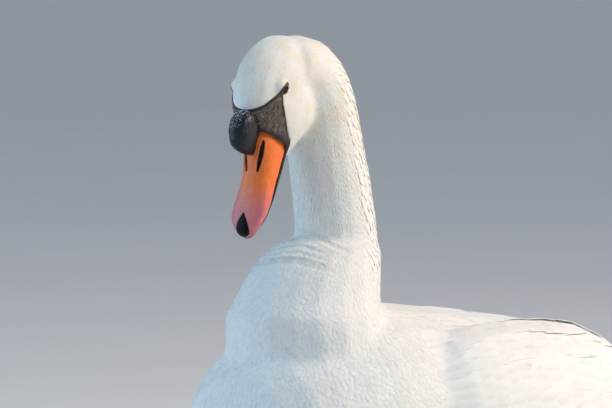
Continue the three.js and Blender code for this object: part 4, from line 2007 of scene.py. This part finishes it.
@dataclass
class LongPlumes:
    """Coverts, tertials, quills and tail: feathers laid one by one."""

    skin: BodySkin
    stations: int = 12
    columns: int = 9
    front: float = -172.0
    rear: float = 285.0
    ends: tuple = (
        (190.0, 57.0, 99.5, -3.0),
        (225.0, 51.0, 97.0, 1.0),
        (262.0, 45.0, 94.0, 2.0),
        (298.0, 39.0, 92.5, 2.5),
        (340.0, 33.0, 91.0, 3.0),
        (380.0, 27.0, 90.0, 3.0),
    )
    step: tuple = (14.0, 31.0)
    spacing: float = 0.62
    reach: float = 2.5
    breadth: float = 1.75
    thick: float = 0.5

    def build(self) -> None:
        """Makes every tract, the wing tips and the tail."""
        quill = Plumage(
            name="quill_plumage", streak_scale=(700.0, 40.0, 1.0), streak=0.3
        ).material()
        for tract, feathers in self.tracts().items():
            if tract is Tract.TERTIALS:
                feathers = feathers + self.wing_ends()
            self.joined(tract.name.lower(), feathers, quill)
        self.joined("quills_outer", self.wing_tips(), quill,
                    ("wing_tips_left", "wing_tips_right"))
        self.joined("tail_quills", self.tail(), quill, ("tail",))

    def tracts(self) -> dict[Tract, list[tuple]]:
        """Rows of overlapping feathers over both wings, each row set off by half.

        Returns:
            The feathers of each tract.
        """
        rnd = np.random.default_rng(31)
        found: dict[Tract, list[tuple]] = {tract: [] for tract in Tract}
        y, row = self.front, 0
        while y < self.rear:
            share = float(ramp(y, self.front, 150))
            step = self.step[0] + (self.step[1] - self.step[0]) * share
            tract = [t for t in Tract if y >= t.value][-1]
            for side in Side:
                for root, angle in self.row_roots(y, side, self.spacing * step, row % 2):
                    feather = self.on_wing(root, angle, step, share, side, rnd)
                    if feather is not None:
                        found[tract].append(feather)
            y, row = y + step, row + 1
        return found

    def row_roots(
        self, y: float, side: Side, spacing: float, odd: int
    ) -> list[tuple[Array, float]]:
        """Evenly spaced roots across one wing.

        Args:
            y: The row's place along the bird in millimetres.
            side: Which wing it is on.
            spacing: The distance between roots in millimetres.
            odd: Whether the row is set off by half a spacing.

        Returns:
            Each root in metres with its angle from the middle of the back.
        """
        inner = 34.0 if y < -142 else 4.0
        angles = np.radians(np.arange(inner, float(wing_edge(y)), 0.5))
        ways = np.stack([side.value * np.sin(angles), 0 * angles, np.cos(angles)], 1)
        axis = np.array([0.0, y, float(wing_axis(y))]) * MM
        hits = self.skin.surface.cast(axis + ways * 0.2, -ways)
        run = np.r_[0, np.cumsum(np.linalg.norm(np.diff(hits, axis=0), axis=1))] / MM
        at = np.arange(spacing * (0.3 + 0.5 * odd), run[-1], spacing)
        roots = np.stack([np.interp(at, run, hits[:, k]) for k in range(3)], 1)
        turned = np.degrees(np.arctan2(np.abs(roots[:, 0]), roots[:, 2] - axis[2]))
        return list(zip(roots, turned.tolist()))

    def on_wing(
        self,
        root: Array,
        angle: float,
        step: float,
        share: float,
        side: Side,
        rnd: np.random.Generator,
    ) -> tuple | None:
        """One feather laid on the wing.

        Args:
            root: Where it grows, in metres.
            angle: How far round from the middle of the back, in degrees.
            step: The distance to the next row in millimetres.
            share: How far back it grows, from 0 to 1.
            side: Which wing it is on.
            rnd: The source of small differences.

        Returns:
            The feather's points, normals, faces and maps, or nothing where it
            would fold over.
        """
        point, normal = (a[0] for a in self.skin.surface.laid(root[None]))
        turn = math.radians(-2 - 9 * share + rnd.normal(0, 2.0))
        low = angle / 110
        way = np.array([side.value * math.sin(turn), math.cos(turn), -0.12 * low * (1 - share)])
        length = step * self.reach * rnd.uniform(0.94, 1.06) * MM
        width = step * self.spacing * self.breadth * rnd.uniform(0.95, 1.05) * MM
        line, ups = [], []
        pace = length / (self.stations - 1)
        for k in range(self.stations):
            t = k / (self.stations - 1)
            rise = 0.3 + 0.3 * share + (1.0 + 1.2 * share) * t
            line.append(point + normal * rise * MM)
            ahead = unit(flat_part(way, normal))
            ups.append(unit(normal + 0.06 * side.value * np.cross(normal, ahead)))
            onward = point + ahead * pace
            below, turned = (a[0] for a in self.skin.surface.laid(onward[None]))
            if np.linalg.norm(below - onward) > 0.5 * pace + 0.004:
                below, turned = onward, normal
            point = below
            normal = unit(normal * 0.5 + turned * 0.5)
        runs = unit(np.diff(np.array(line), axis=0))
        turns = (runs[1:] * runs[:-1]).sum(1)
        if turns.min() < 0.85 or np.array(ups).dot(ups[0]).min() < 0.55:
            return None
        lobe = Lobe.OVAL if share > 0.9 else Lobe.ROUND
        return self.vane(np.array(line), np.array(ups), width, lobe, True)

    def vane(self, line: Array, ups: Array, width: float, lobe: Lobe, laid: bool) -> tuple:
        """A closed feather vane with a raised shaft about a line.

        Args:
            line: Points of the shaft from root to tip.
            ups: The outward direction at each.
            width: The vane's full width in metres.
            lobe: The outline of its tip.
            laid: Whether its edges follow the skin below.

        Returns:
            Points, soft normals, faces, and each point's place across and
            along the vane in metres.
        """
        count, columns = len(line), self.columns
        t = np.linspace(0, 1, count)
        ahead = unit(np.gradient(line, axis=0))
        ups = unit(flat_part(ups, ahead))
        across = np.cross(ups, ahead)
        breadth = ramp(t, -0.12, 0.2) * (1 - t ** (7 / (lobe.value * 2))) ** 0.55
        breadth = np.maximum(breadth, 0.03) * width / 2
        s = np.linspace(-1, 1, columns)
        arch = 0.07 * width
        camber = arch * (1 - s**2)[None] * np.minimum(1, 3 * (1 - t))[:, None]
        shaft = 0.012 * width * np.exp(-((s / 0.12) ** 2))[None] * (1 - 0.8 * t)[:, None]
        top = (
            line[:, None]
            + across[:, None] * (breadth[:, None] * s[None])[:, :, None]
            + ups[:, None] * (camber + shaft - arch)[:, :, None]
        )
        flat = top.reshape(-1, 3)
        if laid:
            below, out = self.skin.surface.laid(flat)
            height = ((flat - below) * out).sum(1)
            least = (0.35 + 0.08 * np.repeat(np.arange(count), columns)) * MM
            flat = flat + out * np.maximum(least - height, 0)[:, None]
        soft = np.repeat(ups, columns, 0)
        thick = np.repeat(self.thick * MM * (1 - 0.6 * t), columns)
        under = flat - soft * thick[:, None]
        points, faces = closed_sheet(flat, under, count, columns)
        tilt = np.tile(s, count)[:, None] * np.repeat(across, columns, 0) * 0.16
        normals = unit(soft + tilt)
        normals = np.concatenate([normals, -normals])
        u = np.tile((breadth[:, None] * s[None]).ravel(), 2)
        length = np.linalg.norm(np.diff(line, axis=0), axis=1).sum()
        v = np.tile(np.repeat(t * length, columns), 2)
        return points, normals, faces, u, v

    def free(self, stops: Array, width: float, lobe: Lobe, roll: float) -> tuple:
        """A quill along its own line, clear of the skin.

        Args:
            stops: Points of the line in millimetres.
            width: The vane's width in millimetres.
            lobe: The outline of its tip.
            roll: How far it turns about its line, in degrees.

        Returns:
            The feather, as vane gives it.
        """
        line = polyline(stops, self.stations + 6) * MM
        up = np.array([math.sin(math.radians(roll)), 0, math.cos(math.radians(roll))])
        return self.vane(line, np.tile(up, (len(line), 1)), width * MM, lobe, False)

    def wing_ends(self) -> list[tuple]:
        """The long inner feathers that close over the rear end of each wing.

        Returns:
            The feathers, as vane gives them.
        """
        feathers = []
        for side in Side:
            for k, turn in enumerate((75, -60, 50, -38, 28, -14, 6)):
                angle = math.radians(turn)
                way = np.array([side.value * math.sin(angle), 0, math.cos(angle)])
                stops = []
                for y, across, up, rise in self.ends:
                    axis = np.array([side.value * across, y, up])
                    hit = axis + way * (10 if y < 335 else 4)
                    if y < 310:
                        start = (axis + way * 90)[None] * MM
                        met = self.skin.surface.cast(start, -way[None])
                        hit = met[0] / MM if len(met) else hit
                    stops.append(hit + way * (rise + 0.5 * k) - [0, 0.18 * abs(turn), 0])
                width = 30 - 0.08 * abs(turn)
                roll = side.value * turn * 0.8
                feathers.append(self.free(np.array(stops), width, Lobe.OVAL, roll))
        return feathers

    def wing_tips(self) -> list[tuple]:
        """The long quills of both wings, crossed over the rump."""
        feathers = []
        for side, high in ((Side.RIGHT, 0.0), (Side.LEFT, 12.0)):
            for k in range(8):
                back = 446 - 17 * k
                out = side.value
                level = 87 + high + 1.3 * k
                stops = np.array(
                    [
                        (out * (44 + 2.4 * k), 232, 106 + high + 1.2 * k),
                        (out * (36 + 2.6 * k), 300, 100 + high + 1.4 * k),
                        (out * (18 + 3.2 * k), 372, 93 + high + 1.4 * k),
                        (out * (-6 + 4.2 * k), back, level),
                    ]
                )
                feathers.append(self.free(stops, 27, Lobe.POINTED, out * (10 - k)))
        return feathers

    def tail(self) -> list[tuple]:
        """The short pointed fan of the tail."""
        feathers = []
        for k in range(11):
            share = (k - 5) / 5
            reach = 456 - 58 * abs(share) ** 1.6
            stops = np.array(
                [
                    (20 * share, 286, 76 - 3 * abs(share)),
                    (38 * share, 350, 72 - 4 * abs(share)),
                    (56 * share * (1 - 0.25 * abs(share)), reach, 67 - 3 * abs(share)),
                ]
            )
            stops[:, 2] += 4.5 * (1 - abs(share))
            feathers.append(self.free(stops, 36, Lobe.OVAL, 16 * share))
        return feathers

    def joined(
        self,
        name: str,
        feathers: list[tuple],
        material: Material,
        nodes: tuple[str, ...] = (),
    ) -> None:
        """Joins single feathers into one piece and dresses it.

        Args:
            name: The piece's name.
            feathers: The feathers, as vane gives them.
            material: Their finish.
            nodes: The solids that the piece stands for.
        """
        points, corners, faces, us, vs, shade = [], [], [], [], [], []
        rnd = np.random.default_rng(len(feathers) + len(name))
        total = 0
        for n, (p, normal, face, u, v) in enumerate(feathers):
            points.append(p)
            soft, half = normal.tolist(), len(p) // 2
            for f in face:
                edge = min(f) < half <= max(f)
                corners.extend([(0, 0, 0)] * len(f) if edge else [soft[i] for i in f])
            faces.extend([[i + total for i in f] for f in face])
            total += len(p)
            us.append(u + 0.07 * n)
            vs.append(v + 0.03 * n)
            shade.append(np.full(len(p), float(np.clip(rnd.normal(0.1, 0.05), 0, 0.3))))
        points = np.concatenate(points)
        obj = mesh_object(name, points, faces)
        obj.data.normals_split_custom_set(corners)
        columns = math.ceil(math.sqrt(len(feathers)))
        uv_map(obj, BAKE_MAP, self.sheet_places(feathers, columns))
        uv_map(obj, VANE_MAP, np.stack([np.concatenate(us), np.concatenate(vs)], 1))
        attribute(obj, "stain", stain_at(points))
        attribute(obj, "shade", np.concatenate(shade))
        finish_piece(obj, material, nodes)

    @staticmethod
    def sheet_places(feathers: list[tuple], columns: int) -> Array:
        """A place of its own for each large feather on the bake map.

        Args:
            feathers: The feathers, as vane gives them.
            columns: How many feathers lie side by side on the map.

        Returns:
            Two numbers for each vertex.
        """
        places = []
        for n, (p, _, _, u, v) in enumerate(feathers):
            half = len(p) // 2
            side = np.r_[np.zeros(half), np.ones(len(p) - half)]
            wide = np.abs(u).max() or 1.0
            x = (0.02 + 0.46 * (u / wide * 0.5 + 0.5) + 0.5 * side + n % columns)
            y = 0.03 + 0.94 * v / max(v.max(), 1e-9) + n // columns
            places.append(np.stack([x, y], 1) / columns)
        return np.concatenate(places)


# Feet


@dataclass
class Feet:
    """Shanks and webbed feet laid beside the belly, with their claws."""

    voxel: float = 0.9
    toe_length: float = 132.0
    spread: float = math.radians(27)
    turn: float = math.radians(10)
    root: tuple = (84.0, -36.0, 0.0)
    shares: tuple = (0.9, 1.0, 0.92)
    claw_length: float = 11.5
    claw_half: float = 2.1

    def build(self) -> None:
        """Makes both legs."""
        skin = FootSkin().material()
        for side in Side:
            name = side.name.lower()
            for part in ("foot", "leg"):
                obj = copy_of([f"{part}_{name}"], f"{part}_skin_{name}")
                apply(obj, "REMESH", mode="VOXEL", voxel_size=self.voxel * MM)
                apply(obj, "SMOOTH", factor=0.5, iterations=5)
                self.scutes(obj)
                finish_piece(obj, skin, (f"{part}_{name}",))
            self.claws(side, skin)

    @staticmethod
    def scutes(obj: Object) -> None:
        """Raises a low grain of plates over the upper side.

        Args:
            obj: The foot or shank.
        """
        points, normals = points_of(obj), normals_of(obj)
        mm = points / MM
        rows = np.sin(mm[:, 1] * 2 * np.pi / 3.4) * ramp(mm[:, 2], 3.5, 7)
        rise = 0.16 * rows + 0.12 * roughness_at(mm, 0.35, 2)
        rise *= ramp(mm[:, 2], 0.4, 1.5)
        moved = points + normals * rise[:, None] * MM
        moved[:, 2] = np.maximum(moved[:, 2], 0)
        move_points(obj, moved)
        obj.data.shade_smooth()

    def claws(self, side: Side, skin: Material) -> None:
        """The short curved claws at the ends of one foot's toes.

        Args:
            side: Which foot it is.
            skin: Their finish.
        """
        root = np.array(self.root) * np.array([side.value, 1, 1])
        parts = []
        for k, share in enumerate(self.shares):
            heading = side.value * self.turn + (k - 1) * self.spread
            ahead = np.array([math.sin(heading), -math.cos(heading), 0])
            across = np.cross(ahead, [0, 0, 1.0])
            t = np.linspace(0, 1, 12)
            reach = self.toe_length * share - 6 + self.claw_length * t
            middle = root + ahead * reach[:, None]
            middle[:, 2] = 2.6 - 1.6 * t**2
            size = self.claw_half * (1 - t**1.7) + 0.12
            angle = np.arange(14) / 14 * 2 * np.pi
            ring = (
                middle[:, None]
                + across * (np.cos(angle)[None] * size[:, None])[:, :, None]
                + np.array([0, 0, 1.0]) * (np.sin(angle)[None] * size[:, None])[:, :, None]
            )
            ring[:, :, 2] = np.maximum(ring[:, :, 2], 0.05)
            parts.append(lofted(f"claw_{k}", ring * MM))
        finish_piece(join(parts, f"claws_{side.name.lower()}"), skin)


# Studio


@dataclass
class Studio:
    """Pale floor and sky, soft lamps and the camera."""

    azimuth: float = 50.0
    elevation: float = 4.0
    distance: float = 4.636
    lens: float = 300.0
    target: tuple = (-0.017, -0.2252, 0.3436)
    middle: tuple = (0.0, -0.15, 0.3)
    lamp_distance: float = 3.3
    haze: tuple = colour(0.27, 0.30, 0.34)

    def build(self) -> None:
        """Sets floor, lamps, sky and camera."""
        self.floor()
        self.camera()
        self.lamp("side", 112, 34, 1.0, 50, (0.90, 1.0, 0.85))
        self.lamp("key", 142, 34, 0.9, 78, (1.0, 0.69, 0.55))
        self.lamp("fill", -40, 20, 2.6, 52, (0.54, 0.86, 1.0))
        self.lamp("front", 0, 20, 2.6, 13, (0.3, 0.5, 1.0))
        world = bpy.data.worlds.new("studio")
        world.use_nodes = True
        sky = world.node_tree.nodes["Background"]
        sky.inputs["Color"].default_value = self.haze
        sky.inputs["Strength"].default_value = 1.0
        bpy.context.scene.view_settings.view_transform = "Standard"
        bpy.context.scene.world = world

    def floor(self) -> None:
        """A pale floor, as bright far away as the sky that it meets."""
        unselect()
        bpy.ops.mesh.primitive_plane_add(size=30, location=(0, 0, 0))
        obj = bpy.context.object
        obj.name = "floor"
        n = Nodes("floor")
        lumps = n.grain(3.0, 3)
        n.paint(n.mixed(lumps, colour(0.54, 0.54, 0.54), colour(0.50, 0.50, 0.50)))
        n.set(Roughness=0.9, Specular_IOR_Level=0.1)
        n.set(Emission_Color=self.haze, Emission_Strength=0.46)
        obj.data.materials.append(n.material)

    def camera(self) -> None:
        """The camera, level with the neck and ahead of the left shoulder."""
        data = bpy.data.cameras.new("camera")
        data.lens = self.lens
        data.sensor_width = 36.0
        data.clip_end = 100.0
        bpy.context.scene.camera = self.aimed(
            data, self.target, (self.azimuth, self.elevation), self.distance
        )

    def lamp(
        self,
        name: str,
        azimuth: float,
        elevation: float,
        size: float,
        power: float,
        tint: tuple,
    ) -> None:
        """One soft lamp that faces the bird.

        Args:
            name: The lamp's name.
            azimuth: Its side, in degrees from the bird's front to its left.
            elevation: Its height, in degrees.
            size: Its width in metres.
            power: Its power in watts.
            tint: Its colour.
        """
        data = bpy.data.lights.new(name, "AREA")
        data.size = size
        data.energy = power
        data.color = tint
        self.aimed(data, self.middle, (azimuth, elevation), self.lamp_distance)

    @staticmethod
    def aimed(
        data: bpy.types.ID, target: tuple, angles: tuple[float, float], away: float
    ) -> Object:
        """Hangs a camera or a lamp so that it faces a point.

        Args:
            data: The camera or lamp.
            target: The point in metres.
            angles: Its side and its height round the point, in degrees.
            away: Its distance in metres.

        Returns:
            The object.
        """
        a, e = (math.radians(angle) for angle in angles)
        back = Vector((math.sin(a) * math.cos(e), -math.cos(a) * math.cos(e), math.sin(e)))
        obj = bpy.data.objects.new(data.name, data)
        obj.location = Vector(target) + back * away
        obj.rotation_euler = (-back).to_track_quat("-Z", "Y").to_euler()
        bpy.context.collection.objects.link(obj)
        return obj


def main() -> None:
    """Builds the bird and its studio, and reports each piece."""
    logging.basicConfig(level=logging.INFO, format="%(message)s")
    skin = BodySkin()
    skin.build()
    LOG.info("working surface: %d triangles", len(skin.surface.triangles))
    Plumes(skin).build()
    LongPlumes(skin).build()
    Knob().build()
    Bill().build()
    Lores(skin).build()
    Eyes().build()
    Feet().build()
    skin.show()
    Studio().build()
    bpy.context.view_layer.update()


if __name__ == "__main__":
    main()
